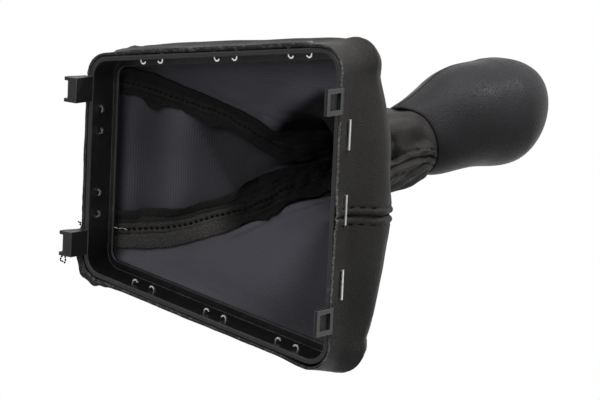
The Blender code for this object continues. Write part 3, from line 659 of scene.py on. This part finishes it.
class Cloth:
    """The displaced surface of the whole gaiter on a fine grid, which the panels are cut from."""

    def __init__(self):
        near = np.arange(-SEAM_REACH, SEAM_REACH + 0.0001, SEAM_SPACING)
        columns = [near + seam for seam in (SEAM_C, SEAM_B, SEAM_A, SEAM_C + AROUND)]
        columns.append(np.arange(SEAM_C, SEAM_C + AROUND, COLUMN_SPACING))
        for corner in (1, 3, 7):
            ends = (BREAKS[corner] - CORNER_REACH, BREAKS[corner + 1] + CORNER_REACH)
            columns.append(np.arange(*ends, CORNER_SPACING))
        flat = np.unique(np.round(np.concatenate(columns), 6))
        flat = flat[(flat >= SEAM_C) & (flat <= SEAM_C + AROUND)]
        keep = [SEAM_C]
        for value in flat:
            if value - keep[-1] > LEAST_SPACING:
                keep.append(value)
        keep[-1] = SEAM_C + AROUND
        self.columns = np.array(keep)
        self.rows = np.concatenate([np.linspace(*ends) for ends in ROWS])
        self.place = np.array([place_in_row(self.columns, row) for row in self.rows])
        lines = [spline_row(control_rings(place), row) for place, row in zip(self.place, self.rows)]
        self.base = np.array(lines)
        self.up = lengths_along(self.base, 0)
        self.along = lengths_along(self.base, 1)
        self.normals = grid_normals(self.base)
        self.to_seam = self.seam_distances()
        self.past_turn = self.rows_past_turn()
        push = self.displacement()
        doubled = self.doubled_hem()
        self.outer = self.base + self.normals * (push + doubled)[:, :, None]
        self.outer[:, -1] = self.outer[:, 0]
        self.shape_hem()
        self.normals = grid_normals(self.outer)
        self.inner = self.outer - self.normals * (LEATHER + doubled)[:, :, None]
        # Painted shade for the lining, which its mesh carries
        self.painted_shade = self.shading()

    def shading(self):
        """Painted shade on the lining: past its fold, in the neck, and in the narrow panel's waves."""
        narrow = (self.columns >= SEAM_B) & (self.columns <= SEAM_A)
        left = self.columns > SEAM_A
        rows = self.rows[:, None]
        patchy = rough_noise(self.base, 26.0, 5.0)
        wavy = rows + 0.10 * patchy
        lit = sum(share * bell(wavy - row, width) for row, width, share in LIT_WAVES)
        lit = lit + LIT_SPOT * bell(self.place - 0.235, 0.012) * bell(wavy - 4.8, 0.35)
        in_narrow = NARROW_SHADE - lit + 0.08 * patchy
        dim_end = DIM_END * (1 - step_up(self.place, 0.098, 0.148))
        slow = np.where(narrow, in_narrow, np.where(left, 0.0, dim_end) + 0.04 * patchy)
        most = np.where(narrow, PAST_NARROW, np.where(left, PAST_LEFT, PAST_RIGHT))
        past = step_up(self.past_turn, -0.03, 0.13) * most
        deep = NECK_SHADE * step_up(rows, 7.3, 8.4)
        off = self.place - (BREAKS[3] + BREAKS[4]) / 2
        under_bunch = bell(off, 0.016) * (1 - step_up(rows, 2.6, 3.6))
        return np.clip(np.maximum(np.maximum(slow, past), np.maximum(deep, under_bunch)), 0.0, 1.0)

    def seam_distances(self):
        """Signed distance from each point to the nearest seam, along its row."""
        found = np.full(self.base.shape[:2], 1.0)
        for seam in (SEAM_C, SEAM_B, SEAM_A, SEAM_C + AROUND):
            column = int(np.argmin(np.abs(self.columns - seam)))
            gap = self.along - self.along[:, [column]]
            found = np.where(np.abs(gap) < np.abs(found), gap, found)
        return found

    def rows_past_turn(self):
        """How many rows each point lies past the fold where the lining turns into the neck."""
        turn = np.zeros_like(self.place)
        for low, high, path in (
            (SEAM_C, SEAM_B, TURN_RIGHT),
            (SEAM_B, SEAM_A, TURN_NARROW),
            (SEAM_A, SEAM_C + AROUND + 1e-6, TURN_LEFT),
        ):
            inside = (self.columns >= low) & (self.columns < high)
            places, rows = zip(*path)
            turn[:, inside] = np.interp(self.place[:, inside], places, rows)
        return self.rows[:, None] - turn

    def displacement(self):
        """How far the leather stands off its plain surface: folds, puckers, seams and stitches."""
        rows = np.broadcast_to(self.rows[:, None], self.base.shape[:2])
        place = self.place
        away = np.abs(self.to_seam)
        free = step_up(rows, 2.6, 4.5) * (1 - step_up(rows, 9.6, 10.6))
        push = sum(rough_noise(self.base, scale, seed) * deep for scale, seed, deep in SLOW_FOLDS) * free
        creases = rough_noise(self.base * np.array((1.0, 1.0, 2.2)), 120.0, 4.0)
        push += CREASES * creases * step_up(rows, 3.0, 5.0) * (1 - step_up(rows, 10.2, 10.8))
        push += self.corner_folds(rows, place)
        push += self.lining_folds(rows, place, away)
        push += self.neck_folds(rows, place)
        for at, row, width, rows_wide, height in OUTLINE_BUMPS:
            off = np.mod(place - at + AROUND / 2, AROUND) - AROUND / 2
            push += height * bell(off, width) * bell(rows - row, rows_wide)
        seam = 1 - step_up(rows, 10.4, 11.0)
        wander = 3 * rough_noise(self.base, 40.0, 2.0)
        pucker = np.sin(self.up / PUCKER_PITCH * 2 * math.pi + wander)
        push += seam * PUCKER * pucker * bell(away, 0.0055) * step_up(rows, 2.0, 3.5)
        band = bell(away - 0.0022, 0.0017) - 2.2 * bell(away, 0.0007)
        push += seam * SEAM_RIDGE * band
        holes = np.cos(math.pi * self.up / STITCH) ** 2
        line = bell(away - STITCH_LINE, 0.0006)
        push -= seam * line * (STITCH_DENT + HOLE_DENT * holes**6)
        return push

    def doubled_hem(self):
        """How much thicker the hem is where it is turned over: on the -X side, and at one corner."""
        rows = self.rows[:, None]
        side = step_up(self.place, 0.300, 0.312) * (1 - step_up(self.place, 0.404, 0.414))
        uneven = 1 + 0.35 * rough_noise(self.base, 130.0, 6.0)
        rolled = HEM_ROLL * side * uneven * bell(rows - 0.35, 0.42)
        off = self.place - (BREAKS[3] + BREAKS[4]) / 2
        wavy = np.cos(2 * math.pi * off / 0.0062)
        pleats = BUNCH * bell(off, 0.011) + BUNCH_PLEAT * bell(off, 0.011) * wavy
        return rolled + pleats * (1 - step_up(rows, 1.8, 4.6))

    def corner_folds(self, rows, place):
        """Pleats at the narrow corners."""
        push = np.zeros_like(place)
        for corner in (3, 5):
            off = place - (BREAKS[corner] + BREAKS[corner + 1]) / 2
            pleats = np.cos(2 * math.pi * off / 0.0085 + corner)
            push += PLEAT * pleats * bell(off, 0.013) * bell(rows - 3.1, 1.5)
        return push

    def lining_folds(self, rows, place, away):
        """The roof's fold into the neck, and the narrow panel's slow waves."""
        seen = step_up(place, 0.150, 0.175) * (1 - step_up(place, 0.355, 0.390))
        past = step_up(self.past_turn, -0.05, 0.5) * (1 - step_up(rows, 7.3, 8.6))
        push = TURN_DEPTH * past * seen * step_up(away, 0.001, 0.012)
        ridge = bell(self.past_turn + 0.08, 0.13) * seen * step_up(away, 0.002, 0.010)
        push -= TURN_RIDGE * ridge
        narrow = step_up(place, 0.214, 0.226) * (1 - step_up(place, 0.258, 0.276))
        waves = np.cos(2 * math.pi * (rows - 4.8) / WAVE_ROWS) * bell(rows - 5.15, 0.75)
        return push - WAVE * narrow * waves

    def neck_folds(self, rows, place):
        """Twisted folds round the neck, and the crease beside its seam."""
        neck = step_up(rows, 7.2, 8.2) * (1 - step_up(rows, 9.7, 10.4))
        turn = 2 * math.pi * place / AROUND
        twist = sum(np.sin(count * turn + rows * lean) * deep for count, lean, deep in NECK_TWISTS)
        crease = bell(rows - 8.55, 0.11) * step_up(place, 0.345, 0.362) * (1 - step_up(place, 0.398, 0.410))
        lobe = bell(rows - 8.62, 0.30) * bell(place - 0.452, 0.022)
        swell = bell(rows - 9.2, 0.5) * bell(place - 0.335, 0.030)
        return neck * twist - NECK_CREASE * crease + NECK_LOBE * lobe + NECK_SWELL * swell

    def shape_hem(self):
        """Lets the cut hem run unevenly along the lip, and pulls it away at the wide-end seam."""
        fade = np.exp(-self.rows / 0.45)
        places = np.mod(self.columns, AROUND)
        wave = np.array([noise.noise(Vector((place * 90.0, 3.0, 0.0))) for place in places])
        fine = np.array([noise.noise(Vector((place * 420.0, 7.0, 0.0))) for place in places])
        drop = HEM_DROP + HEM_WAVE * wave + HEM_FIBRES * fine
        drop[-1] = drop[0]
        self.outer[:, :, 2] -= fade[:, None] * drop[None, :]
        from_seam = np.minimum(self.columns - SEAM_C, SEAM_C + AROUND - self.columns)
        pulled = HEM_PULL * bell(from_seam, 0.007) * (1 + 0.5 * np.cos(from_seam / 0.0042 * 2 * math.pi))
        self.outer[:, :, 1] -= fade[:, None] * pulled[None, :]


cloth = Cloth()


def mesh_from(bm, name, materials, smooth=True):
    """A new object at the origin, in the part's frame."""
    mesh = bpy.data.meshes.new(name)
    bm.to_mesh(mesh)
    bm.free()
    if smooth:
        mesh.shade_smooth()
    for material in materials:
        mesh.materials.append(material)
    made = bpy.data.objects.new(name, mesh)
    bpy.context.scene.collection.objects.link(made)
    return made


def settle(piece, node=None):
    """Ties a piece to the part, and puts it in the place of the solid that it stands for."""
    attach(piece, "root")
    if node:
        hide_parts(node)
    return piece


def sheet_mesh(name, outer, inner, uvs, painted_shade, materials):
    """A closed sheet between two grids of points, with UVs in metres.

    The materials are those of its outside, its inside, its hem and its sewn sides.
    """
    rows, columns = outer.shape[:2]
    bm = bmesh.new()
    bmesh.ops.create_grid(bm, x_segments=columns - 1, y_segments=rows - 1, size=1.0)
    place = bm.verts.layers.int.new("place")
    # Painted shade that the lining and the allowances carry at each point
    shade = bm.verts.layers.float.new("painted_shade")
    layer = bm.loops.layers.uv.new("cloth")
    for vert in bm.verts:
        column = round((vert.co.x + 1) / 2 * (columns - 1))
        row = round((vert.co.y + 1) / 2 * (rows - 1))
        vert[place] = row * columns + column
        vert[shade] = float(painted_shade[row, column])
        vert.co = outer[row, column] + LIP
    first = bm.faces[:]
    carried = bmesh.ops.extrude_face_region(bm, geom=first, use_keep_orig=True)["geom"]
    new_faces = {part for part in carried if isinstance(part, bmesh.types.BMFace)}
    for part in carried:
        if isinstance(part, bmesh.types.BMVert):
            part.co = inner[part[place] // columns, part[place] % columns] + LIP
    kept = set(first)
    for face in bm.faces:
        if face in new_faces:
            face.material_index = 1
        elif face not in kept:
            at_hem = all(vert[place] < columns for vert in face.verts)
            face.material_index = 2 if at_hem else 3
        for loop in face.loops:
            index = loop.vert[place]
            loop[layer].uv = uvs[index // columns, index % columns]
    bmesh.ops.recalc_face_normals(bm, faces=bm.faces)
    return mesh_from(bm, name, materials)


def column_of(seam):
    """The cloth's column that lies on a seam."""
    return int(np.argmin(np.abs(cloth.columns - seam)))


# The sewn panels all but touch, so that no light comes through their seams
SEAM_SHUT = 0.000005


def build_panel(name, node, start, end):
    """One panel of the gaiter, from seam to seam."""
    first = column_of(start)
    part = slice(first, column_of(end) + 1)
    outer = cloth.outer[:, part].copy()
    inner = cloth.inner[:, part].copy()
    for side, step in ((0, 1), (-1, -1)):
        towards = outer[:, side + step] - outer[:, side]
        towards /= np.maximum(np.linalg.norm(towards, axis=1), 1e-9)[:, None]
        outer[:, side] += towards * SEAM_SHUT
        inner[:, side] += towards * SEAM_SHUT
    along = cloth.along[:, part] - cloth.along[:, [first]]
    uvs = np.stack([along, cloth.up[:, part]], axis=2)
    panel = sheet_mesh(name, outer, inner, uvs, cloth.painted_shade[:, part], (GRAIN, LINING, EDGE, FOLDED))
    return settle(panel, node)


left_panel = build_panel("gaiter_left", "gaiter_left_panel", SEAM_A, SEAM_C + AROUND)
narrow_panel = build_panel("gaiter_narrow", "gaiter_narrow_panel", SEAM_B, SEAM_A)
right_panel = build_panel("gaiter_right", "gaiter_right_panel", SEAM_C, SEAM_B)


# seam allowances and threads


def row_points(row, start, distances, face):
    """Points of one row of the cloth at these signed distances from a seam."""
    along = cloth.along[row]
    places = np.mod(along[start] + distances, along[-1])
    grid = face[row]
    return np.stack([np.interp(places, along, grid[:, axis]) for axis in range(3)], axis=1)


ALLOWANCE = 0.0010
STRIP_ROWS = (3.4, 8.3)
# Rows over which the strips' painted shade grows to full
SHADED_ROWS = (6.1, 6.55)

# The strips' ragged edges (scale, seed, depth), the widest that one may be as a share of its row,
# how far it lies off the lining, its crown, the roll beside the seam and the stitches' dent
RAGGED = ((260.0, 0.0, 0.0006), (60.0, 5.0, 0.0007))
WIDEST_STRIP = 0.13
STRIP_OFF = 0.00015
STRIP_CROWN = 0.0004
SEAM_ROLL = 0.00045
SEWN_DENT = 0.00055
LUMP_ROWS = 0.17


def allowance(name, seam, side, width, lift, flat_share, seed, shade, lumps=()):
    """One seam allowance: a strip folded back on the lining, with a ragged, wavy free edge.

    It lies flat for a share of its width and then rises to its lift. Its shade is how much painted
    shade darkens it beside the seam and at its free edge. Each lump is a row where it is gathered,
    with how much wider and higher it is there.
    """
    column = column_of(seam)
    rows = [index for index, row in enumerate(cloth.rows) if STRIP_ROWS[0] <= row <= STRIP_ROWS[1]]
    across = np.linspace(0.0, 1.0, 21)
    low_face = np.zeros((len(rows), len(across), 3))
    top_face = np.zeros_like(low_face)
    uvs = np.zeros((len(rows), len(across), 2))
    painted_shade = np.zeros((len(rows), len(across)))
    for index, row in enumerate(rows):
        v = cloth.up[row, column]
        ragged = sum(deep * noise.noise(Vector((v * scale, seed, at))) for scale, at, deep in RAGGED)
        wave = 0.6 + 0.4 * noise.noise(Vector((v * 48.0, seed, 11.0)))
        here = width + ragged
        rise_to = lift * wave
        for lump_row, wider, higher in lumps:
            gathered = math.exp(-(((cloth.rows[row] - lump_row) / LUMP_ROWS) ** 2))
            here += wider * gathered
            rise_to += higher * gathered
        here = min(here, WIDEST_STRIP * cloth.along[row, -1])
        distances = across * here - 0.00005
        inner = row_points(row, column, side * distances, cloth.inner)
        normal = row_points(row, column, side * distances, cloth.normals)
        crown = STRIP_CROWN * np.sin(across * math.pi)
        rise = STRIP_OFF + rise_to * step_up(across, flat_share, 1.15) + crown
        rise += SEAM_ROLL * bell(distances - 0.0007, 0.00045)
        dent = SEWN_DENT * bell(distances - INNER_STITCH, 0.0005)
        away = (rise - dent)[:, None]
        low_face[index] = inner - normal * (away + 0.00005)
        top_face[index] = inner - normal * (away + ALLOWANCE)
        uvs[index, :, 0] = distances
        uvs[index, :, 1] = v
        # Painted shade, from the seam to the free edge
        dark = shade[0] + (shade[1] - shade[0]) * step_up(across, flat_share, flat_share + 0.25)
        painted_shade[index] = np.maximum(dark, step_up(cloth.rows[row], *SHADED_ROWS))
    piece = sheet_mesh(name, top_face, low_face, uvs, painted_shade, (FOLDED, LINING, FOLDED, FOLDED))
    return settle(piece)


B_LUMPS = ((6.62, 0.004, 0.004), (7.0, 0.002, 0.002))
A_LUMPS = ((4.25, 0.0038, 0.0026), (5.15, 0.0038, 0.0026), (5.85, 0.0028, 0.0020))

# Each strip's seam, side, width, lift, flat share, seed, painted shade and lumps
STRIPS = {
    "b_low": (SEAM_B, -1, 0.0090, 0.0010, 0.35, 3.0, (0.0, 0.0)),
    "b_high": (SEAM_B, 1, 0.0088, 0.0048, 0.30, 8.0, (0.35, 0.78), B_LUMPS),
    "a_low": (SEAM_A, -1, 0.0042, 0.0014, 0.2, 12.0, (0.86, 0.96), A_LUMPS),
    "a_high": (SEAM_A, 1, 0.0078, 0.0036, 0.15, 17.0, (0.90, 0.96)),
    "c_left": (SEAM_C, -1, 0.0085, 0.0020, 0.3, 23.0, (0.3, 0.3)),
    "c_right": (SEAM_C, 1, 0.0085, 0.0020, 0.3, 29.0, (0.3, 0.3)),
}
strips = {label: allowance(f"allowance_{label}", *values) for label, values in STRIPS.items()}


def add_stitch(bm, start, end, out, radius):
    """One stitch: a slim rounded bar."""
    along = end - start
    length = along.length
    if length < 1e-6:
        return
    along.normalize()
    across = out.cross(along).normalized()
    up = along.cross(across)
    turn = Matrix((along, across, up)).transposed().to_4x4()
    scale = Matrix.Diagonal((length / 2, radius, radius * 0.8, 1.0))
    place = Matrix.Translation((start + end) / 2) @ turn @ scale
    bmesh.ops.create_uvsphere(bm, u_segments=8, v_segments=6, radius=1.0, matrix=place)


def seam_line(seam, offset, face, rows, sink, sign):
    """Points and outward directions along a row of stitches beside a seam."""
    column = column_of(seam)
    line = []
    outs = []
    for row in rows:
        point = row_points(row, column, np.array([offset]), face)[0]
        normal = row_points(row, column, np.array([offset]), cloth.normals)[0] * sign
        line.append(point + normal * sink)
        outs.append(normal)
    line = np.array(line)
    run = np.concatenate([[0.0], np.cumsum(np.linalg.norm(np.diff(line, axis=0), axis=1))])
    return line, np.array(outs), run


def sew(name, seam, offsets, pitch, share, radius, rows_sewn, sink, inside, material):
    """Rows of stitches beside a seam, on the outside or on the allowances inside.

    Each stitch takes a share of its pitch and lies this far off the leather, or in it.
    """
    first_row, last_row = rows_sewn
    bm = bmesh.new()
    rows = [index for index, row in enumerate(cloth.rows) if first_row <= row <= last_row]
    face = cloth.inner if inside else cloth.outer
    for offset in offsets:
        line, outs, run = seam_line(seam, offset, face, rows, sink, -1.0 if inside else 1.0)
        for index in range(int(run[-1] / pitch)):
            ends = np.array([index * pitch, index * pitch + pitch * share])
            points = np.stack([np.interp(ends, run, line[:, axis]) for axis in range(3)], axis=1) + LIP
            out = np.array([np.interp(ends[0], run, outs[:, axis]) for axis in range(3)])
            add_stitch(bm, Vector(points[0]), Vector(points[1]), Vector(out), radius)
    settle(mesh_from(bm, name, (material,)))


TOP = (STITCH_LINE, -STITCH_LINE)
TOP_ROWS = (0.5, 10.6)
TOP_OFF = -0.00008
INSIDE_ROWS = (3.5, 7.6)
SEAM_OFF = 0.0011
INNER_OFF = 0.00112
STITCHED = 0.62
INNER_STITCHED = 0.55
TOP_THREAD = 0.00030
INNER_THREAD = 0.00042
for label, seam, radius in (("a", SEAM_A, 0.00036), ("b", SEAM_B, 0.0006), ("c", SEAM_C, 0.0006)):
    name = f"topstitch_{label}"
    sew(name, seam, TOP, STITCH, STITCHED, TOP_THREAD, TOP_ROWS, TOP_OFF, False, BLACK_THREAD)
    name = f"seam_thread_{label}"
    sew(name, seam, (0.0,), PITCH_INSIDE, STITCHED, radius, INSIDE_ROWS, SEAM_OFF, True, BLACK_THREAD)
for label, seam, side in (("a", SEAM_A, 1), ("b", SEAM_B, -1), ("c", SEAM_C, 1)):
    line = (side * INNER_STITCH,)
    inner = (PITCH_INSIDE, INNER_STITCHED, INNER_THREAD, INSIDE_ROWS, INNER_OFF)
    sew(f"inner_stitch_{label}", seam, line, *inner, True, BLACK_THREAD)

# Two thin grey rows on the ridge of one seam's allowances
RIDGES = (0.0009, -0.0009)
RIDGE_PITCH = 0.0017
RIDGE_STITCHED = 0.75
RIDGE_THREAD = 0.00020
RIDGE_ROWS = (3.5, 6.6)
RIDGE_OFF = 0.0017
ridge = (RIDGE_PITCH, RIDGE_STITCHED, RIDGE_THREAD, RIDGE_ROWS, RIDGE_OFF)
sew("ridge_thread_a", SEAM_A, RIDGES, *ridge, True, GREY_THREAD)


def loose_end(name, path, radius, material):
    """A loose thread along a path of points in the lip's millimetres."""
    bm = bmesh.new()
    points = [Vector(point) / 1000 + Vector(LIP) for point in path]
    for start, end in zip(points, points[1:]):
        add_stitch(bm, start, end, Vector((0.3, -0.5, -0.8)), radius)
    settle(mesh_from(bm, name, (material,)))


CLIP_ENDS = (
    ((39.4, 71.4, -9.6), (40.6, 72.3, -9.9), (41.6, 72.4, -10.1), (42.2, 71.6, -10.1), (42.0, 70.6, -9.9)),
    ((39.4, 70.2, -9.6), (40.6, 69.6, -9.9), (41.8, 69.4, -10.1), (42.9, 70.1, -10.1)),
)
HEM_ENDS = (
    ((26.4, 68.6, 0.6), (26.2, 69.6, 0.0), (25.6, 70.7, -0.4), (25.7, 71.6, -0.2)),
    ((26.6, 68.6, 0.6), (27.0, 69.9, 0.2), (26.7, 71.0, 0.1)),
)
LEDGE_END = ((28.2, 62.0, 13.0), (28.6, 59.6, 13.3), (28.1, 57.4, 13.6), (28.6, 55.0, 14.2))
for number, path in enumerate(CLIP_ENDS + HEM_ENDS):
    loose_end(f"loose_end_{number}", path, 0.00042, BLACK_THREAD)
loose_end("loose_end_pale", LEDGE_END, 0.00020, PALE_THREAD)


# the knob


def knob_frame():
    """The rim's middle and the knob's cross directions, in the part's frame."""
    side = np.array((1.0, 0.0, 0.0)) - KNOB_AXIS * KNOB_AXIS[0]
    side /= np.linalg.norm(side)
    return KNOB_RIM + LIP, side, np.cross(KNOB_AXIS, side)


RIM_PLACE, KNOB_SIDE, KNOB_FRONT = knob_frame()
PARTING = math.radians(168)
PARTING_END = 0.066
PARTING_WIDTH = 0.0007
PARTING_GROOVE = 0.00060
PARTING_EDGE = 0.00020
UNEVEN = 0.00018
KNOB_STEPS = 360

# The skin's rim is drawn down over the neck on its upper side in the photograph
DRAWN_SIDE = math.radians(152)
DRAWN_DOWN = 0.0062
DRAWN_OUT = 0.0021
DRAWN_HEIGHT = 0.016

# Slight hollows on that side: (height over the rim, width, depth)
HOLLOWS = ((0.060, 0.017, 0.0007), (0.024, 0.013, 0.0004))


def pear_radius(height, inset=0.0):
    """The knob's radius at this height over its rim, taken inward by the inset."""
    if height <= KNOB_WIDEST:
        share = (max(height, 0.0) / KNOB_WIDEST) ** KNOB_FLARE
        return RIM_RADIUS + (KNOB_RADIUS - RIM_RADIUS) * share * share * (3 - 2 * share) - inset
    crown = KNOB_LENGTH - KNOB_WIDEST - inset
    share = min(1.0, (height - KNOB_WIDEST) / crown)
    return (KNOB_RADIUS - inset) * (1 - share**KNOB_CROWN) ** (1 / KNOB_CROWN)


def crown_height(radius, inset=0.0):
    """The height at which the knob's rounded top has narrowed to this radius."""
    crown = KNOB_LENGTH - KNOB_WIDEST - inset
    share = radius / (KNOB_RADIUS - inset)
    return KNOB_WIDEST + crown * (1 - share**KNOB_CROWN) ** (1 / KNOB_CROWN)


def crown_points(opening, inset, count):
    """Points (radius, height) over the rounded top, from its widest ring to an opening."""
    reach = KNOB_RADIUS - inset
    last = math.asin((opening / reach) ** (KNOB_CROWN / 2))
    angles = np.linspace(math.pi / 2, last, count + 1)[1:]
    radii = [reach * math.sin(angle) ** (2 / KNOB_CROWN) for angle in angles]
    return [(radius, crown_height(radius, inset)) for radius in radii]


def knob_profile():
    """Points (radius, height) round the skin's section: rim, outside, opening and inside."""
    opening = CAP_RADIUS + GAP
    edge = SKIN * 0.35
    rim = [(RIM_RADIUS - SKIN, edge), (RIM_RADIUS - SKIN + edge * 0.3, edge * 0.3)]
    rim += [(RIM_RADIUS - SKIN / 2, 0.0), (RIM_RADIUS - edge * 0.2, edge * 0.3)]
    side = [(pear_radius(height), height) for height in np.linspace(edge * 1.2, KNOB_WIDEST, 60)]
    top = crown_points(opening, 0.0, 44)
    radius, height = top[-1]
    top[-1] = (radius, height - 0.0003)
    inside_top = crown_points(opening, SKIN, 10)[::-1]
    inside_heights = np.linspace(KNOB_WIDEST, edge * 2, 14)
    inside = [(pear_radius(height, SKIN), height) for height in inside_heights]
    return rim + side + top + inside_top + inside


def turned(profile, steps, ring):
    """A piece turned round the knob's axis from (radius, height) points, standing on its rim."""
    bm = bmesh.new()
    verts = [bm.verts.new((radius, 0.0, height)) for radius, height in profile]
    for first, second in zip(verts, verts[1:]):
        bm.edges.new((first, second))
    if ring:
        bm.edges.new((verts[-1], verts[0]))
    bmesh.ops.spin(
        bm,
        geom=bm.verts[:] + bm.edges[:],
        cent=(0.0, 0.0, 0.0),
        axis=(0.0, 0.0, 1.0),
        angle=2 * math.pi,
        steps=steps,
        use_merge=True,
    )
    bmesh.ops.remove_doubles(bm, verts=bm.verts, dist=1e-6)
    bmesh.ops.recalc_face_normals(bm, faces=bm.faces)
    return bm


def put_on_knob(vert):
    """Carries a turned point to the knob's place, with the pear's bow and the lean of its crown."""
    x, y, height = vert.co
    if height > KNOB_WIDEST:
        x -= KNOB_LEAN * ((height - KNOB_WIDEST) / (KNOB_LENGTH - KNOB_WIDEST)) ** 2
    elif height > 0:
        x -= KNOB_BOW * math.sin(math.pi * height / KNOB_WIDEST) ** 2
    vert.co = RIM_PLACE + KNOB_SIDE * x + KNOB_FRONT * y + KNOB_AXIS * height


def build_skin():
    """The knob's leather skin, with its sewn parting line and a slight unevenness."""
    bm = turned(knob_profile(), KNOB_STEPS, ring=True)
    parting = bm.verts.layers.float.new("parting")
    for vert in bm.verts:
        x, y, height = vert.co
        radius = math.hypot(x, y)
        if radius > pear_radius(height) - SKIN / 2 and height > 0.0004:
            off = (math.atan2(y, x) - PARTING + math.pi) % (2 * math.pi) - math.pi
            gap = abs(off) * radius
            line = 1 - step_up(height, PARTING_END - 0.006, PARTING_END)
            vert[parting] = float(line * bell(gap, PARTING_WIDTH))
            reach = -PARTING_GROOVE * bell(gap, PARTING_WIDTH) * line
            reach += PARTING_EDGE * bell(gap - 2.2 * PARTING_WIDTH, 0.0010) * line
            swell = noise.noise(Vector((x * 60, y * 60, height * 60)))
            reach += UNEVEN * swell * step_up(height, 0.002, 0.012)
            facing = max(0.0, math.cos(math.atan2(y, x) - DRAWN_SIDE)) ** 3
            for at, width, deep in HOLLOWS:
                reach -= deep * facing * bell(height - at, width)
            vert.co.x *= 1 + reach / radius
            vert.co.y *= 1 + reach / radius
        if height < DRAWN_HEIGHT:
            facing = max(0.0, math.cos(math.atan2(y, x) - DRAWN_SIDE)) ** 3
            drawn = facing * (1 - height / DRAWN_HEIGHT) ** 1.5
            vert.co.x *= 1 + DRAWN_OUT * drawn / radius
            vert.co.y *= 1 + DRAWN_OUT * drawn / radius
            vert.co.z -= DRAWN_DOWN * drawn
        put_on_knob(vert)
    settle(mesh_from(bm, "knob_skin", (SKIN_LEATHER,)), "knob_cover")


def build_cap():
    """The cap in the knob's top, with a rounded edge and a shallow ring round a plain field."""
    floor = crown_height(CAP_RADIUS) - CAP_THICKNESS
    edge = 0.0004
    profile = [(0.0, floor), (CAP_RADIUS - edge, floor), (CAP_RADIUS, floor + edge)]
    profile += [(CAP_RADIUS, crown_height(CAP_RADIUS) - edge)]
    for radius in np.linspace(CAP_RADIUS - edge, 0.0, 40):
        ring = 0.00035 * math.exp(-(((radius - 0.0108) / 0.0004) ** 2))
        profile.append((radius, crown_height(radius) - ring))
    bm = turned(profile, 128, ring=False)
    for vert in bm.verts:
        put_on_knob(vert)
    settle(mesh_from(bm, "knob_cap_dressed", (CAP,)), "knob_cap")


build_skin()
build_cap()


# carried-over pieces


STAPLES = 11
CARRIED_OVER = {"snap_in_frame": FRAME_PLASTIC, "knob_core": CORE, "lever_sleeve": STEEL}
CARRIED_OVER.update({"gaiter_collar": NYLON, "gaiter_tie": NYLON})
CARRIED_OVER.update({f"staple_{number:02d}": WIRE for number in range(1, STAPLES + 1)})
for name, material in CARRIED_OVER.items():
    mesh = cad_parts[name].data
    mesh.materials.clear()
    mesh.materials.append(material)


# floor, light and camera


def build_floor():
    """A pale floor under the clips, clear when it is seen from below."""
    bm = bmesh.new()
    bmesh.ops.create_grid(bm, x_segments=1, y_segments=1, size=3.0)
    made = Nodes("pale_floor")
    tone = made.span(made.noise(3.0, 2.0), 0.3, 0.7)
    made.set(Base_Color=made.blend(tone, (0.80, 0.80, 0.80), (0.84, 0.84, 0.84)), Roughness=0.7)
    back = made.add("NewGeometry").outputs["Backfacing"]
    clear = made.add("BsdfTransparent").outputs[0]
    both = made.add("MixShader", _0=back, _1=made.shader.outputs[0], _2=clear)
    made.tree.links.new(both.outputs[0], made.tree.nodes["Material Output"].inputs[0])
    floor = mesh_from(bm, "floor", (made.material,), smooth=False)
    floor.visible_diffuse = False
    floor.visible_glossy = False
    floor.visible_transmission = False
    floor.visible_shadow = False


WORLD_LIGHT = 0.25


def build_world():
    """White behind the object, and a dimmer grey for its light."""
    world = bpy.data.worlds.new("studio")
    bpy.context.scene.world = world
    world.use_nodes = True
    world.node_tree.nodes.clear()
    made = Tree(world.node_tree)
    ray = made.add("LightPath").outputs
    seen = made.math("MAXIMUM", ray["Is Camera Ray"], ray["Is Transmission Ray"])
    bright = made.math("MAXIMUM", seen, ray["Is Glossy Ray"])
    white = made.add("Background", Color=(1.0, 1.0, 1.0))
    grey = made.add("Background", Color=(0.96, 0.98, 1.0), Strength=WORLD_LIGHT)
    mix = made.add("MixShader", _0=bright, _1=grey.outputs[0], _2=white.outputs[0])
    made.add("OutputWorld", Surface=mix.outputs[0])


CAMERA_PLACE = Vector((-0.236566, -0.833360, -1.028401)) + Vector(LIP)
CAMERA_RIGHT = Vector((-0.045681, -0.789695, 0.611796))
CAMERA_DOWN = Vector((0.982865, -0.145011, -0.113791))
CAMERA_LENS = 190.0


def camera_axes():
    """The camera's right, up and backward directions, squared up."""
    right = CAMERA_RIGHT.normalized()
    up = -CAMERA_DOWN
    up = (up - right * up.dot(right)).normalized()
    return right, up, right.cross(up)


def add_camera():
    """The camera at the photograph's angle: below the wide end, turned on its side."""
    right, up, back = camera_axes()
    camera = bpy.data.cameras.new("camera")
    camera.lens = CAMERA_LENS
    camera.sensor_width = 36.0
    camera.clip_start = 0.01
    made = bpy.data.objects.new("camera", camera)
    made.matrix_world = Matrix.Translation(CAMERA_PLACE) @ Matrix((right, up, back)).transposed().to_4x4()
    bpy.context.scene.collection.objects.link(made)
    bpy.context.scene.camera = made


def add_light(name, right, up, back, size, power):
    """A soft square light placed from the object's middle, along the photograph's directions."""
    target = Vector((0.0, -0.01, 0.07))
    axes = camera_axes()
    place = target + axes[0] * right + axes[1] * up + axes[2] * back
    data = bpy.data.lights.new(name, "AREA")
    data.size = size
    data.energy = power
    made = bpy.data.objects.new(name, data)
    made.location = place
    made.rotation_euler = (target - place).to_track_quat("-Z", "Y").to_euler()
    bpy.context.scene.collection.objects.link(made)


build_floor()
build_world()
add_camera()
add_light("top_light", 0.1, 1.3, 0.35, size=0.9, power=15.0)
add_light("front_light", -0.62, 0.45, 1.32, size=0.8, power=10.0)
add_light("corner_light", 0.78, 0.85, 0.2, size=0.25, power=8.5)

bpy.context.scene.view_settings.view_transform = "Standard"
